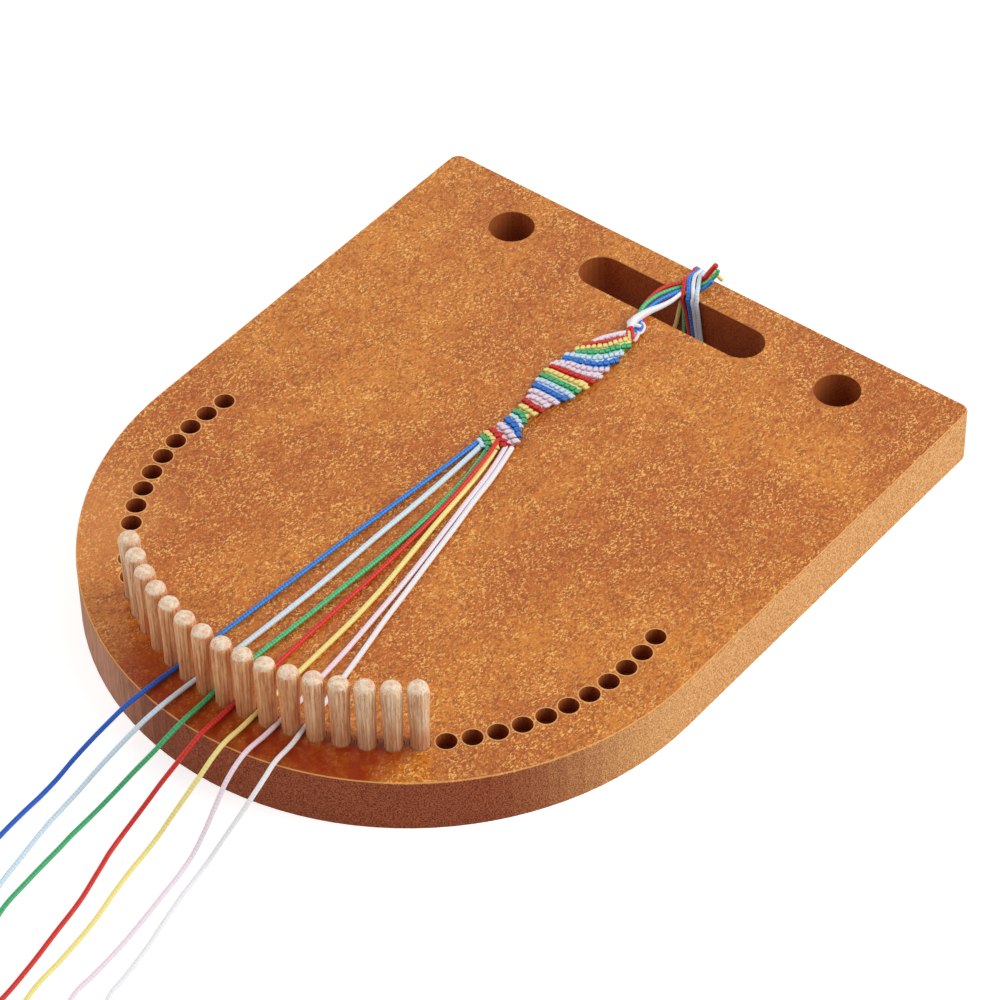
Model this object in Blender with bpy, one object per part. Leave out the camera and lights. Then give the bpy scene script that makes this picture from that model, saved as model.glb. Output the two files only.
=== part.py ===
# Bracelet maker: a round-fronted wooden board with a row of pegs that hold the strings of a
# knotted bracelet apart, and a slot whose bar the finished end is tied to.
# Metres, +Z up. The board lies on its underside, its straight back edge towards +Y.
import math

import bmesh
import bpy
import numpy as np
from mathutils import Vector

MM = 0.001

# Board: a 19 mm sheet, 203 mm wide, with a half-round front
BOARD_WIDTH = 203.0 * MM
BOARD_STRAIGHT = 146.2 * MM  # from the centre of the half-round front to the straight back edge
BOARD_THICKNESS = 19.0 * MM
BACK_CORNER_RADIUS = 3.5 * MM
EDGE_CHAMFER = 0.4 * MM

# Slot and its bar, and the two round holes in line with the slot
SLOT_LENGTH = 70.0 * MM
SLOT_WIDTH = 14.8 * MM
BAR_WIDTH = 11.1 * MM  # wood left between the slot and the back edge
ROUND_HOLE_DIAMETER = 15.0 * MM
ROUND_HOLE_SPACING = 128.0 * MM

# Shallow cut under the bar, so that the strings tied round it do not lift the board
RELIEF_DEPTH = 1.9 * MM
RELIEF_LEFT = 7.5 * MM
RELIEF_RIGHT = 12.5 * MM

# Pegs: fluted dowel pins pushed into blind holes on one arc
PEG_DIAMETER = 6.0 * MM
PEG_LENGTH = 30.0 * MM
PEG_SEAT = 5.4 * MM
PEG_FLUTES = 8
FLUTE_DEPTH = 0.22 * MM
PEG_TOP_ROUNDING = 2.4 * MM
PEG_FOOT_CHAMFER = 0.9 * MM
PEG_GAP = 1.55 * MM  # clear space between neighbours, which pinches one string
RING_MARGIN = 17.5 * MM  # from the board's side to the line of the holes
RING_FORWARD = 2.7 * MM  # the arc of holes is centred this far in front of the half-round
HOLES_PER_SIDE = 19
FIRST_PEG = -7  # holes are counted from the middle one, to the left as minus
LAST_PEG = 8
HOLE_CLEARANCE = 0.2 * MM
HOLE_FLOOR_GAP = 0.3 * MM
HOLE_SIDES = 16

# Strings
STRING_DIAMETER = 1.5 * MM
TIE_DIAMETER = 1.2 * MM  # the same string, drawn tight round the bar
LAY_GAP = 0.3 * MM  # between a piece and what it rests on
FLOOR_GAP = 0.05 * MM
STRING_STEP = 4.6 * MM
PINCH_CLEARANCE = 0.2 * MM  # on each side of a string between two pegs

# The unseen length of each string, put away as a small coil
COIL_TURNS = 3
COIL_OUTER_RADIUS = 9.5 * MM
COIL_TURN_PITCH = 2.0 * MM
COIL_STEPS = 16
WRAPPER_THICKNESS = 0.3 * MM
WRAPPER_WIDTH = 2.4 * MM
WRAPPER_CLEARANCE = 0.3 * MM

# Values that follow from the sizes above
BOARD_RADIUS = BOARD_WIDTH / 2
SLOT_CENTRE_Y = BOARD_STRAIGHT - BAR_WIDTH - SLOT_WIDTH / 2
BAR_FRONT_Y = BOARD_STRAIGHT - BAR_WIDTH
RING_RADIUS = BOARD_RADIUS - RING_MARGIN
HOLE_PITCH = 2 * math.asin((PEG_DIAMETER + PEG_GAP) / (2 * RING_RADIUS))
HOLE_RADIUS = PEG_DIAMETER / 2 + HOLE_CLEARANCE
WRAP_BACK_Y = BOARD_STRAIGHT + LAY_GAP + TIE_DIAMETER / 2
BACKMOST_Y = WRAP_BACK_Y + TIE_DIAMETER / 2
# The origin is under the middle of the board with its tie; the routes below are written from
# the centre of the half-round front, and this moves them there.
ORIGIN = Vector((0.0, (BACKMOST_Y - BOARD_RADIUS) / 2, 0.0))

WOOD = (0.42, 0.13, 0.028)
PEG_WOOD = (0.62, 0.42, 0.26)
COLOURS = {
    "blue": (0.012, 0.085, 0.50),
    "light_blue": (0.55, 0.70, 0.84),
    "green": (0.01, 0.30, 0.095),
    "red": (0.62, 0.012, 0.012),
    "yellow": (0.86, 0.72, 0.24),
    "pink": (0.84, 0.70, 0.78),
    "white": (0.86, 0.87, 0.88),
}

# Routes of the strings in millimetres: x and y from the centre of the half-round, and the
# height of the string's middle above the board. Each runs from the band to the pegs.
ROUTES_TO_PEGS = {
    "blue": ((-8.9, 42.0, 1.1), (-9.6, 34, 1.05), (-10.7, 22, 1.05), (-12.3, 2, 1.05), (-13.9, -18, 1.05),
             (-15.8, -44, 1.05), (-17.4, -66, 1.05), (-18.2, -77, 1.05)),
    "light_blue": ((-7.1, 42.6, 1.1), (-6.9, 34, 1.05), (-7.1, 20, 1.05), (-8.2, -2, 1.05), (-8.9, -24, 1.05),
                   (-9.6, -45, 1.05), (-10.4, -66, 1.05), (-10.9, -77, 1.05)),
    "green": ((-5.3, 43.25, 1.1), (-3.7, 36, 1.05), (-2.3, 28, 1.05), (-1.5, 14, 1.05), (-1.4, -6, 1.05),
              (-2.3, -36, 1.05), (-3.4, -62, 1.05), (-3.8, -76, 1.05)),
    "red": ((-3.3, 43.95, 2.95), (-1.9, 38, 2.85), (-0.9, 30, 2.55), (0.0, 20, 1.95), (0.8, 8, 1.25),
            (1.7, -16, 1.05), (2.6, -45, 1.05), (3.4, -68, 1.05), (3.6, -76, 1.05)),
    "yellow": ((-3.0, 44.05, 1.1), (-1.5, 38, 1.05), (0.3, 30, 1.05), (1.7, 22, 1.05), (3.6, 8, 1.05),
               (6.0, -12, 1.05), (8.2, -36, 1.05), (10.0, -62, 1.05), (10.9, -77, 1.05)),
    "pink": ((-0.9, 44.75, 1.1), (0.9, 39, 1.05), (3.0, 32, 1.05), (5.2, 24, 1.05), (7.5, 9, 1.05),
             (9.5, -8, 1.05), (13.2, -35, 1.05), (16.6, -60, 1.05), (18.2, -75, 1.05)),
    "white": ((1.0, 45.4, 1.1), (2.9, 39, 1.05), (5.2, 32, 1.05), (7.5, 24, 1.05), (10.1, 9, 1.05),
              (12.8, -8, 1.05), (17.6, -34, 1.05), (22.2, -58, 1.05), (24.9, -75, 1.05)),
}

# From the pegs over the rim, down to the table and out to the coil: x, y, and the height of the
# string's middle above the table. The last point is where the coil takes over.
ROUTES_TO_COILS = {
    "blue": ((-19.5, -92, 20.05), (-20.1, -100.2, 20.15), (-21.3, -105.2, 18.8), (-23.4, -110.9, 15.1),
             (-26.0, -116.8, 10.2), (-28.2, -122.7, 5.4), (-29.1, -129, 2.1), (-29.2, -136, 0.9),
             (-28.8, -146, 0.8), (-28.1, -154.1, 0.8), (-27.1, -161, 1.0), (-26.5, -168, 1.4)),
    "light_blue": ((-11.8, -92.5, 20.05), (-12.2, -101.5, 20.2), (-13.1, -106, 18.9), (-14.6, -110.6, 16.2),
                   (-16.8, -116.2, 11.8), (-18.9, -122, 7.3), (-20.5, -129, 2.9), (-20.9, -136, 0.95),
                   (-19.7, -146, 0.8), (-17.6, -157, 0.8), (-15.6, -167.4, 0.8), (-12.2, -177.5, 1.0),
                   (-10.0, -183, 1.25), (-9.5, -188, 1.4)),
    "green": ((-3.5, -93, 20.05), (-3.3, -102.1, 20.2), (-3.8, -107, 18.7), (-5.2, -112.4, 15.4),
              (-7.6, -118.4, 10.8), (-9.9, -124.8, 6.0), (-11.6, -131, 2.4), (-12.2, -137.5, 0.9),
              (-11.4, -148.4, 0.8), (-10.3, -161.8, 0.8), (-8.6, -174.6, 0.8), (-4.4, -185, 0.8),
              (2.0, -194, 0.9), (6.6, -200.6, 1.2), (8.5, -207, 1.4)),
    "red": ((4.0, -93, 20.05), (4.1, -102.1, 20.2), (3.9, -106.7, 18.7), (3.2, -111.4, 15.9),
            (1.7, -117.3, 11.2), (0.5, -124, 6.2), (-0.1, -130.4, 2.6), (0.4, -137, 0.9),
            (3.2, -147, 0.8), (6.4, -158, 0.8), (8.9, -171, 0.8), (11.6, -185, 0.8),
            (13.4, -198, 0.8), (13.8, -209, 0.85), (13.6, -219, 1.15), (13.5, -228, 1.4)),
    "yellow": ((11.6, -92.5, 20.05), (11.8, -101.5, 20.2), (11.9, -106, 18.9), (11.7, -111, 16.0),
               (11.0, -116.6, 12.0), (10.1, -122.6, 7.4), (9.5, -129, 3.1), (9.6, -136, 0.95),
               (11.6, -148, 0.8), (14.6, -161, 0.8), (16.8, -177, 0.8), (18.0, -190, 0.8),
               (20.0, -197.6, 0.9), (23.8, -205.6, 1.2), (27.8, -212.75, 1.4)),
    "pink": ((18.9, -91, 20.05), (19.0, -100.4, 20.2), (19.2, -104.4, 19.0), (19.4, -108.7, 16.6),
             (20.0, -114.4, 12.0), (20.9, -121, 6.8), (21.6, -127.5, 2.7), (22.4, -134.5, 0.95),
             (25.0, -151, 0.8), (26.8, -164, 0.8), (27.6, -175.3, 0.8), (28.0, -184, 0.8),
             (30.2, -190.2, 0.8), (35.2, -193.6, 0.9), (41.2, -196.6, 1.1), (47.2, -200.9, 1.3),
             (52.25, -204.8, 1.4)),
    "white": ((27.2, -89, 20.05), (28.1, -98.3, 20.2), (28.6, -102.6, 18.8), (28.6, -107.7, 16.0),
              (28.1, -113.4, 11.9), (27.4, -119.6, 7.6), (26.9, -126.4, 3.2), (27.2, -134, 0.95),
              (29.8, -147, 0.8), (33.0, -160, 0.8), (35.0, -171, 0.8), (36.4, -179.5, 0.8),
              (39.9, -185.0, 0.8), (46.0, -186.2, 0.8), (53.0, -185.0, 0.9), (60.0, -184.2, 1.1),
              (68.0, -184.0, 1.3), (76.0, -184.0, 1.4)),
}

# The gap between two pegs that each string passes, counted from the middle hole to its right,
# the heading in which the string reaches its coil, and the side to which it turns there
PEG_GAPS = {"blue": -3, "light_blue": -2, "green": -1, "red": 0, "yellow": 1, "pink": 2, "white": 3}
COIL_HEADINGS = {"blue": -90, "light_blue": -90, "green": -90, "red": -90, "yellow": -60,
                 "pink": -35, "white": 0}
COIL_TURN_LEFT = {"blue": False, "light_blue": False, "green": False, "red": True,
                  "yellow": True, "pink": True, "white": True}

# Strings between the band and the bar, which pass under the wraps and end in short tails
LEADS = {
    "red": ((-5.4, 113.4, 1.25), (-6.2, 117, 1.3), (-6.9, 121.5, 1.5), (-7.1, 126, 1.7), (-6.85, 130, 1.6),
            (-6.2, 133.6, 1.2), (-5.4, 137.3, 0.95), (-3.85, 140.7, 0.95), (-1.5, 143.0, 0.95),
            (1.1, 144.0, 1.0), (3.0, 144.6, 1.6), (3.9, 145.1, 3.8), (4.3, 145.6, 5.9), (4.8, 145.9, 7.8)),
    "green": ((-3.9, 113.5, 1.25), (-4.7, 117, 1.3), (-5.4, 121.5, 1.5), (-5.6, 126, 1.7), (-5.3, 130, 1.6),
              (-4.65, 133.4, 1.2), (-3.95, 136.6, 0.95), (-2.55, 139.5, 0.95), (-0.5, 141.5, 0.95),
              (1.9, 142.5, 1.0), (4.1, 143.0, 1.6), (5.1, 143.7, 3.4), (5.7, 144.4, 5.7)),
    "blue": ((-2.4, 113.5, 1.25), (-3.1, 117, 1.25), (-3.8, 121.5, 1.45), (-4.05, 126, 1.65), (-3.75, 130, 1.5),
             (-3.1, 133.2, 1.2), (-2.45, 135.9, 0.95), (-1.3, 138.4, 0.95), (0.5, 140.2, 0.95),
             (3.0, 141.15, 1.0), (5.6, 141.7, 1.5)),
    "white": ((-3.6, 113.6, 2.9), (-3.3, 117, 2.85), (-2.5, 121, 2.6), (-1.8, 125, 2.1), (-1.45, 129, 1.6),
              (-1.55, 132.2, 1.25), (-1.5, 134.2, 1.05), (-1.05, 135.9, 0.95), (0.2, 137.7, 0.95),
              (2.3, 138.95, 0.95)),
}

# Four strings wound once round the bar: their x at the slot's top edge, at the foot of the
# slot's wall, at the top of the back edge and at its foot; a bend of 1 would be a straight lane
WRAPS = {
    "red": (0.45, 3.3, -4.5, -3.9),
    "blue": (2.15, 4.8, -3.15, -2.0),
    "white": (3.8, 6.25, -1.8, -0.1),
    "light_blue": (5.45, 7.7, -0.4, 1.8),
}
WRAP_BEND = 1.6

# The knotted band: the ends of each cross-section, left and right, and its thickness
BAND_SECTIONS = (
    (-4.7, 112.8, 0.3, 112.8, 2.5),
    (-4.5, 110.6, 1.1, 110.4, 3.0),
    (-4.7, 107.6, 1.4, 107.0, 2.9),
    (-6.0, 104.6, 1.8, 103.6, 2.6),
    (-7.9, 100.4, 2.3, 99.6, 2.5),
    (-10.2, 95.8, 2.9, 95.2, 2.5),
    (-11.7, 91.0, 3.1, 90.6, 2.5),
    (-12.6, 85.6, 3.1, 86.0, 2.5),
    (-12.8, 80.4, 2.7, 80.8, 2.5),
    (-12.3, 75.4, 1.8, 75.6, 2.6),
    (-11.1, 70.3, 0.2, 70.4, 2.7),
    (-9.6, 65.6, -1.3, 65.6, 3.0),
    (-8.9, 61.6, -2.2, 61.6, 3.2),
    (-8.5, 57.6, -2.8, 57.8, 3.2),
    (-8.5, 54.0, -1.7, 54.8, 3.0),
    (-9.0, 50.2, -0.1, 51.7, 2.9),
    (-9.7, 46.6, 1.2, 48.9, 2.9),
    (-9.7, 42.4, 1.8, 46.3, 2.9),
)
BAND_SIDES = 12


def clear_scene():
    for item in list(bpy.data.objects):
        bpy.data.objects.remove(item, do_unlink=True)


def material(name, colour, roughness):
    found = bpy.data.materials.get(name)
    if found:
        return found
    made = bpy.data.materials.new(name)
    made.use_nodes = True
    shader = made.node_tree.nodes["Principled BSDF"]
    shader.inputs["Base Color"].default_value = (*colour, 1.0)
    shader.inputs["Roughness"].default_value = roughness
    shader.inputs["Metallic"].default_value = 0.0
    return made


def place(name, data, finish, centre=Vector((0, 0, 0)), turn=0.0):
    item = bpy.data.objects.new(name, data)
    item.data.materials.clear()
    item.data.materials.append(finish)
    item.location = centre - ORIGIN
    item.rotation_euler.z = turn
    bpy.context.scene.collection.objects.link(item)
    return item


def smooth_rounds(data):
    data.shade_smooth()
    data.set_sharp_from_angle(angle=math.radians(35))


def skin_rings(name, rings):
    """A closed mesh through rings of equally many points, from the lowest to the highest."""
    shape = bmesh.new()
    loops = [[shape.verts.new(point) for point in ring] for ring in rings]
    shape.faces.new(list(reversed(loops[0])))
    shape.faces.new(loops[-1])
    for low, high in zip(loops, loops[1:]):
        count = len(low)
        for i in range(count):
            j = (i + 1) % count
            shape.faces.new((low[i], low[j], high[j], high[i]))
    bmesh.ops.recalc_face_normals(shape, faces=shape.faces)
    data = bpy.data.meshes.new(name)
    shape.to_mesh(data)
    shape.free()
    return data


def arc(centre_x, centre_y, radius, start, end, steps):
    for i in range(steps + 1):
        angle = math.radians(start + (end - start) * i / steps)
        yield centre_x + radius * math.cos(angle), centre_y + radius * math.sin(angle)


def board_outline(inset):
    """The board's outline as seen from above, moved in by the inset."""
    half = BOARD_RADIUS - inset
    back = BOARD_STRAIGHT - inset
    corner = BACK_CORNER_RADIUS
    points = list(arc(0, 0, half, 180, 360, 56))
    points += arc(half - corner, back - corner, corner, 0, 90, 5)
    points += arc(corner - half, back - corner, corner, 90, 180, 5)
    return points


def slot_outline():
    end = (SLOT_LENGTH - SLOT_WIDTH) / 2
    points = list(arc(end, SLOT_CENTRE_Y, SLOT_WIDTH / 2, -90, 90, 12))
    points += arc(-end, SLOT_CENTRE_Y, SLOT_WIDTH / 2, 90, 270, 12)
    return points


def cutter(name, prisms):
    """A cutting body made of upright prisms: an outline, its lowest and its highest z."""
    shape = bmesh.new()
    for outline, low, high in prisms:
        bottom = [shape.verts.new((x, y, low)) for x, y in outline]
        top = [shape.verts.new((x, y, high)) for x, y in outline]
        shape.faces.new(list(reversed(bottom)))
        shape.faces.new(top)
        for i in range(len(bottom)):
            j = (i + 1) % len(bottom)
            shape.faces.new((bottom[i], bottom[j], top[j], top[i]))
    bmesh.ops.recalc_face_normals(shape, faces=shape.faces)
    data = bpy.data.meshes.new(name)
    shape.to_mesh(data)
    shape.free()
    item = bpy.data.objects.new(name, data)
    item.location = -ORIGIN
    item.hide_render = True
    item.display_type = "WIRE"
    bpy.context.scene.collection.objects.link(item)
    return item


def hole_centre(step):
    """The middle of a peg hole; half steps are the gaps between two of them."""
    angle = step * HOLE_PITCH
    return Vector((RING_RADIUS * math.sin(angle), -RING_FORWARD - RING_RADIUS * math.cos(angle), 0))


def circle(centre, radius, sides, turn=0.0):
    return [(centre.x + radius * math.cos(turn + i * math.tau / sides),
             centre.y + radius * math.sin(turn + i * math.tau / sides)) for i in range(sides)]


def make_board():
    rings = [[(x, y, 0.0) for x, y in board_outline(0.0)],
             [(x, y, BOARD_THICKNESS - EDGE_CHAMFER) for x, y in board_outline(0.0)],
             [(x, y, BOARD_THICKNESS) for x, y in board_outline(EDGE_CHAMFER)]]
    board = place("board", skin_rings("board", rings), material("stained_wood", WOOD, 0.35))
    over = BOARD_THICKNESS + 1 * MM
    under = -1 * MM
    hole_floor = BOARD_THICKNESS - PEG_SEAT - HOLE_FLOOR_GAP
    peg_holes = [(circle(hole_centre(step), HOLE_RADIUS, HOLE_SIDES, step * HOLE_PITCH), hole_floor, over)
                 for step in range(-HOLES_PER_SIDE, HOLES_PER_SIDE + 1)]
    through = [(slot_outline(), under, over)]
    for side in (-1, 1):
        centre = Vector((side * ROUND_HOLE_SPACING / 2, SLOT_CENTRE_Y, 0))
        through.append((circle(centre, ROUND_HOLE_DIAMETER / 2, 28), under, over))
    relief = [((-RELIEF_LEFT, BAR_FRONT_Y - 1 * MM), (RELIEF_RIGHT, BAR_FRONT_Y - 1 * MM),
               (RELIEF_RIGHT, BOARD_STRAIGHT + 1 * MM), (-RELIEF_LEFT, BOARD_STRAIGHT + 1 * MM))]
    cuts = (("peg_hole_cutter", peg_holes), ("slot_cutter", through),
            ("relief_cutter", [(relief[0], under, RELIEF_DEPTH)]))
    for name, prisms in cuts:
        cut = board.modifiers.new(name, "BOOLEAN")
        cut.operation = "DIFFERENCE"
        cut.solver = "EXACT"
        cut.object = cutter(name, prisms)


def fluted_ring(radius, z, fluted):
    points = []
    count = 2 * PEG_FLUTES
    for i in range(count):
        depth = FLUTE_DEPTH if fluted and i % 2 else 0.0
        angle = i * math.tau / count
        points.append(((radius - depth) * math.cos(angle), (radius - depth) * math.sin(angle), z))
    return points


def make_pegs():
    """Fluted dowel pins with a rounded top. Each one pulls straight up out of its hole."""
    radius = PEG_DIAMETER / 2
    rings = [fluted_ring(radius - PEG_FOOT_CHAMFER, 0, False),
             fluted_ring(radius, PEG_FOOT_CHAMFER, True),
             fluted_ring(radius, PEG_LENGTH - PEG_TOP_ROUNDING, True)]
    for turn in map(math.radians, (26, 50, 74)):
        rise = PEG_LENGTH - PEG_TOP_ROUNDING * (1 - math.sin(turn))
        rings.append(fluted_ring(radius * math.cos(turn), rise, False))
    data = skin_rings("peg", rings)
    smooth_rounds(data)
    finish = material("beech", PEG_WOOD, 0.6)
    for number, step in enumerate(range(FIRST_PEG, LAST_PEG + 1), start=1):
        foot = hole_centre(step)
        foot.z = BOARD_THICKNESS - PEG_SEAT
        place(f"peg_{number:02d}", data, finish, foot, step * HOLE_PITCH)


def smooth_curve(points):
    """Many closely set points on a smooth curve through the given ones."""
    given = np.array(points, dtype=float)
    chords = np.linalg.norm(np.diff(given, axis=0), axis=1)
    knots = np.concatenate(([0.0], np.cumsum(chords)))
    slopes = np.gradient(given, knots, axis=0, edge_order=1)
    fine = []
    for i, span in enumerate(chords):
        for t in np.linspace(0, 1, 24, endpoint=False):
            fine.append((1 + 2 * t) * (1 - t) ** 2 * given[i] + t * (1 - t) ** 2 * span * slopes[i]
                        + t * t * (3 - 2 * t) * given[i + 1] + t * t * (t - 1) * span * slopes[i + 1])
    fine.append(given[-1])
    return np.array(fine)


def spaced(line, step):
    """Points about a step apart along a line of closely set points, its ends included."""
    along = np.concatenate(([0.0], np.cumsum(np.linalg.norm(np.diff(line, axis=0), axis=1))))
    marks = np.linspace(0, along[-1], max(2, round(along[-1] / step) + 1))
    return np.stack([np.interp(marks, along, line[:, axis]) for axis in range(3)], axis=1)


def smooth_path(points, step):
    return spaced(smooth_curve(points), step)


def tube(name, points, diameter, sides_step, finish, narrowing=None):
    """A round string along the points. A narrowing of 0.8 at a point makes it 20% thinner there."""
    curve = bpy.data.curves.new(name, "CURVE")
    curve.dimensions = "3D"
    curve.bevel_depth = diameter / 2
    curve.bevel_resolution = sides_step
    curve.use_fill_caps = True
    line = curve.splines.new("POLY")
    line.points.add(len(points) - 1)
    for i, point in enumerate(points):
        line.points[i].co = (*point, 1.0)
        line.points[i].radius = 1.0 if narrowing is None else narrowing[i]
    line.use_smooth = True
    return place(name, curve, finish)


def least_gap(points, diameter):
    """The least clear distance between two stretches of one tube that are not neighbours."""
    line = smooth_path(points, diameter / 3)
    far = line[:, None, :] - line[None, :, :]
    distance = np.sqrt((far ** 2).sum(axis=2))
    index = np.arange(len(line))
    apart = np.abs(index[:, None] - index[None, :]) * diameter / 3 > 4 * diameter
    return distance[apart].min() - diameter


def in_metres(points, lift=0.0):
    return [(x * MM, y * MM, z * MM + lift) for x, y, z in points]


def make_string(name, finish):
    """One working string: from the band between two pegs, over the rim and along the table."""
    gap = hole_centre(PEG_GAPS[name] + 0.5)
    pass_point = (gap.x, gap.y, BOARD_THICKNESS + LAY_GAP + STRING_DIAMETER / 2)
    before = in_metres(ROUTES_TO_PEGS[name], BOARD_THICKNESS)
    after = in_metres(ROUTES_TO_COILS[name])
    heading = math.radians(COIL_HEADINGS[name])
    forward = np.array((math.cos(heading), math.sin(heading), 0.0))
    # The last stretch is straight for one diameter and stops short of the coil
    end = np.array(after[-1]) - forward * (STRING_DIAMETER + LAY_GAP)
    after = after[:-1] + [tuple(end - forward * STRING_DIAMETER), tuple(end)]
    whole = smooth_curve(before + [pass_point] + after)
    whole[:, 2] = np.maximum(whole[:, 2], FLOOR_GAP + STRING_DIAMETER / 2)
    split = 24 * len(before)
    first = spaced(whole[:split + 1], STRING_STEP)
    points = np.concatenate((first, spaced(whole[split:], STRING_STEP)[1:]))
    room = PEG_GAP - 2 * PINCH_CLEARANCE
    narrowing = [1.0] * len(points)
    narrowing[len(first) - 1] = min(1.0, room / STRING_DIAMETER)
    tube(f"string_{name}", points, STRING_DIAMETER, 2, finish, narrowing)


def coil_centre(name):
    x, y, _ = ROUTES_TO_COILS[name][-1]
    heading = math.radians(COIL_HEADINGS[name])
    side = 1 if COIL_TURN_LEFT[name] else -1
    offset = COIL_OUTER_RADIUS * side
    return x * MM - offset * math.sin(heading), y * MM + offset * math.cos(heading), heading, side


def coil_radius(turn):
    """The spiral runs in for half of the turns and out again for the rest."""
    half = COIL_TURNS / 2
    inward = turn if turn <= half else COIL_TURNS - turn
    return COIL_OUTER_RADIUS - COIL_TURN_PITCH * inward


def coil_height(turn):
    """The upper layer lies on the lower one; the string climbs where the spiral reverses."""
    low = FLOOR_GAP + WRAPPER_THICKNESS + WRAPPER_CLEARANCE + STRING_DIAMETER / 2
    climb = min(max((turn - COIL_TURNS / 2) * 2 + 0.5, 0.0), 1.0)
    return low + COIL_TURN_PITCH * climb * climb * (3 - 2 * climb)


def make_coil(name, finish):
    centre_x, centre_y, heading, side = coil_centre(name)
    start = heading - side * math.pi / 2
    points = []
    for i in range(COIL_TURNS * COIL_STEPS + 1):
        turn = i / COIL_STEPS
        angle = start + side * math.tau * turn
        radius = coil_radius(turn)
        points.append(np.array((centre_x + radius * math.cos(angle),
                                centre_y + radius * math.sin(angle), coil_height(turn))))
    # Straight for one diameter at both ends
    forward = np.array((math.cos(heading), math.sin(heading), 0.0))
    points.insert(0, points[0] - forward * STRING_DIAMETER)
    points.append(points[-1] + forward * STRING_DIAMETER)
    print(f"coil_{name} least gap to itself {least_gap(points, STRING_DIAMETER) / MM:.2f} mm")
    tube(f"coil_{name}", points, STRING_DIAMETER, 1, finish)


def make_wrapper(name, finish):
    """A flat paper band closed round one side of the coil, three quarters of a turn on."""
    centre_x, centre_y, heading, side = coil_centre(name)
    angle = heading - side * math.pi / 2 + side * math.tau * 0.75
    inner = coil_radius(1.75)
    inner -= WRAPPER_WIDTH / 2 * math.tan(math.pi / COIL_STEPS)
    outer = coil_radius(0.25)
    middle = (inner + outer) / 2
    half = (outer - inner) / 2 + STRING_DIAMETER / 2 + WRAPPER_CLEARANCE
    low = FLOOR_GAP + WRAPPER_THICKNESS
    high = coil_height(COIL_TURNS) + STRING_DIAMETER / 2 + WRAPPER_CLEARANCE
    corner = 0.5 * MM
    across = Vector((math.cos(angle), math.sin(angle), 0))
    along = Vector((-math.sin(angle), math.cos(angle), 0)) * WRAPPER_WIDTH / 2
    loop = ((half, low + corner), (half, high - corner), (half - corner, high), (corner - half, high),
            (-half, high - corner), (-half, low + corner), (corner - half, low), (half - corner, low))
    shape = bmesh.new()
    rings = []
    mid_height = (low + high) / 2
    grow_across = (half + WRAPPER_THICKNESS) / half
    grow_up = ((high - low) / 2 + WRAPPER_THICKNESS) / ((high - low) / 2)
    for reach, z in loop:
        outer_reach = reach * grow_across
        outer_z = mid_height + (z - mid_height) * grow_up
        ring = []
        for far, up, way in ((reach, z, -1), (reach, z, 1), (outer_reach, outer_z, 1), (outer_reach, outer_z, -1)):
            point = Vector((centre_x, centre_y, up)) + across * (middle + far) + along * way
            ring.append(shape.verts.new(point))
        rings.append(ring)
    for i, ring in enumerate(rings):
        following = rings[(i + 1) % len(rings)]
        for j in range(4):
            k = (j + 1) % 4
            shape.faces.new((ring[j], ring[k], following[k], following[j]))
    bmesh.ops.recalc_face_normals(shape, faces=shape.faces)
    data = bpy.data.meshes.new(f"wrapper_{name}")
    shape.to_mesh(data)
    shape.free()
    place(f"coil_band_{name}", data, finish)


def make_lead(name, finish):
    points = in_metres(LEADS[name], BOARD_THICKNESS)
    tube(f"lead_{name}", smooth_path(points, 3.4 * MM), TIE_DIAMETER, 1, finish)


def corner_points(corner_y, corner_z, reach, start):
    """Three points a quarter turn round an edge of the bar, as (y, z), half a step in from its ends."""
    return [(corner_y + reach * math.cos(math.radians(start + step)),
             corner_z + reach * math.sin(math.radians(start + step))) for step in (8, 45, 82)]


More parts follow.
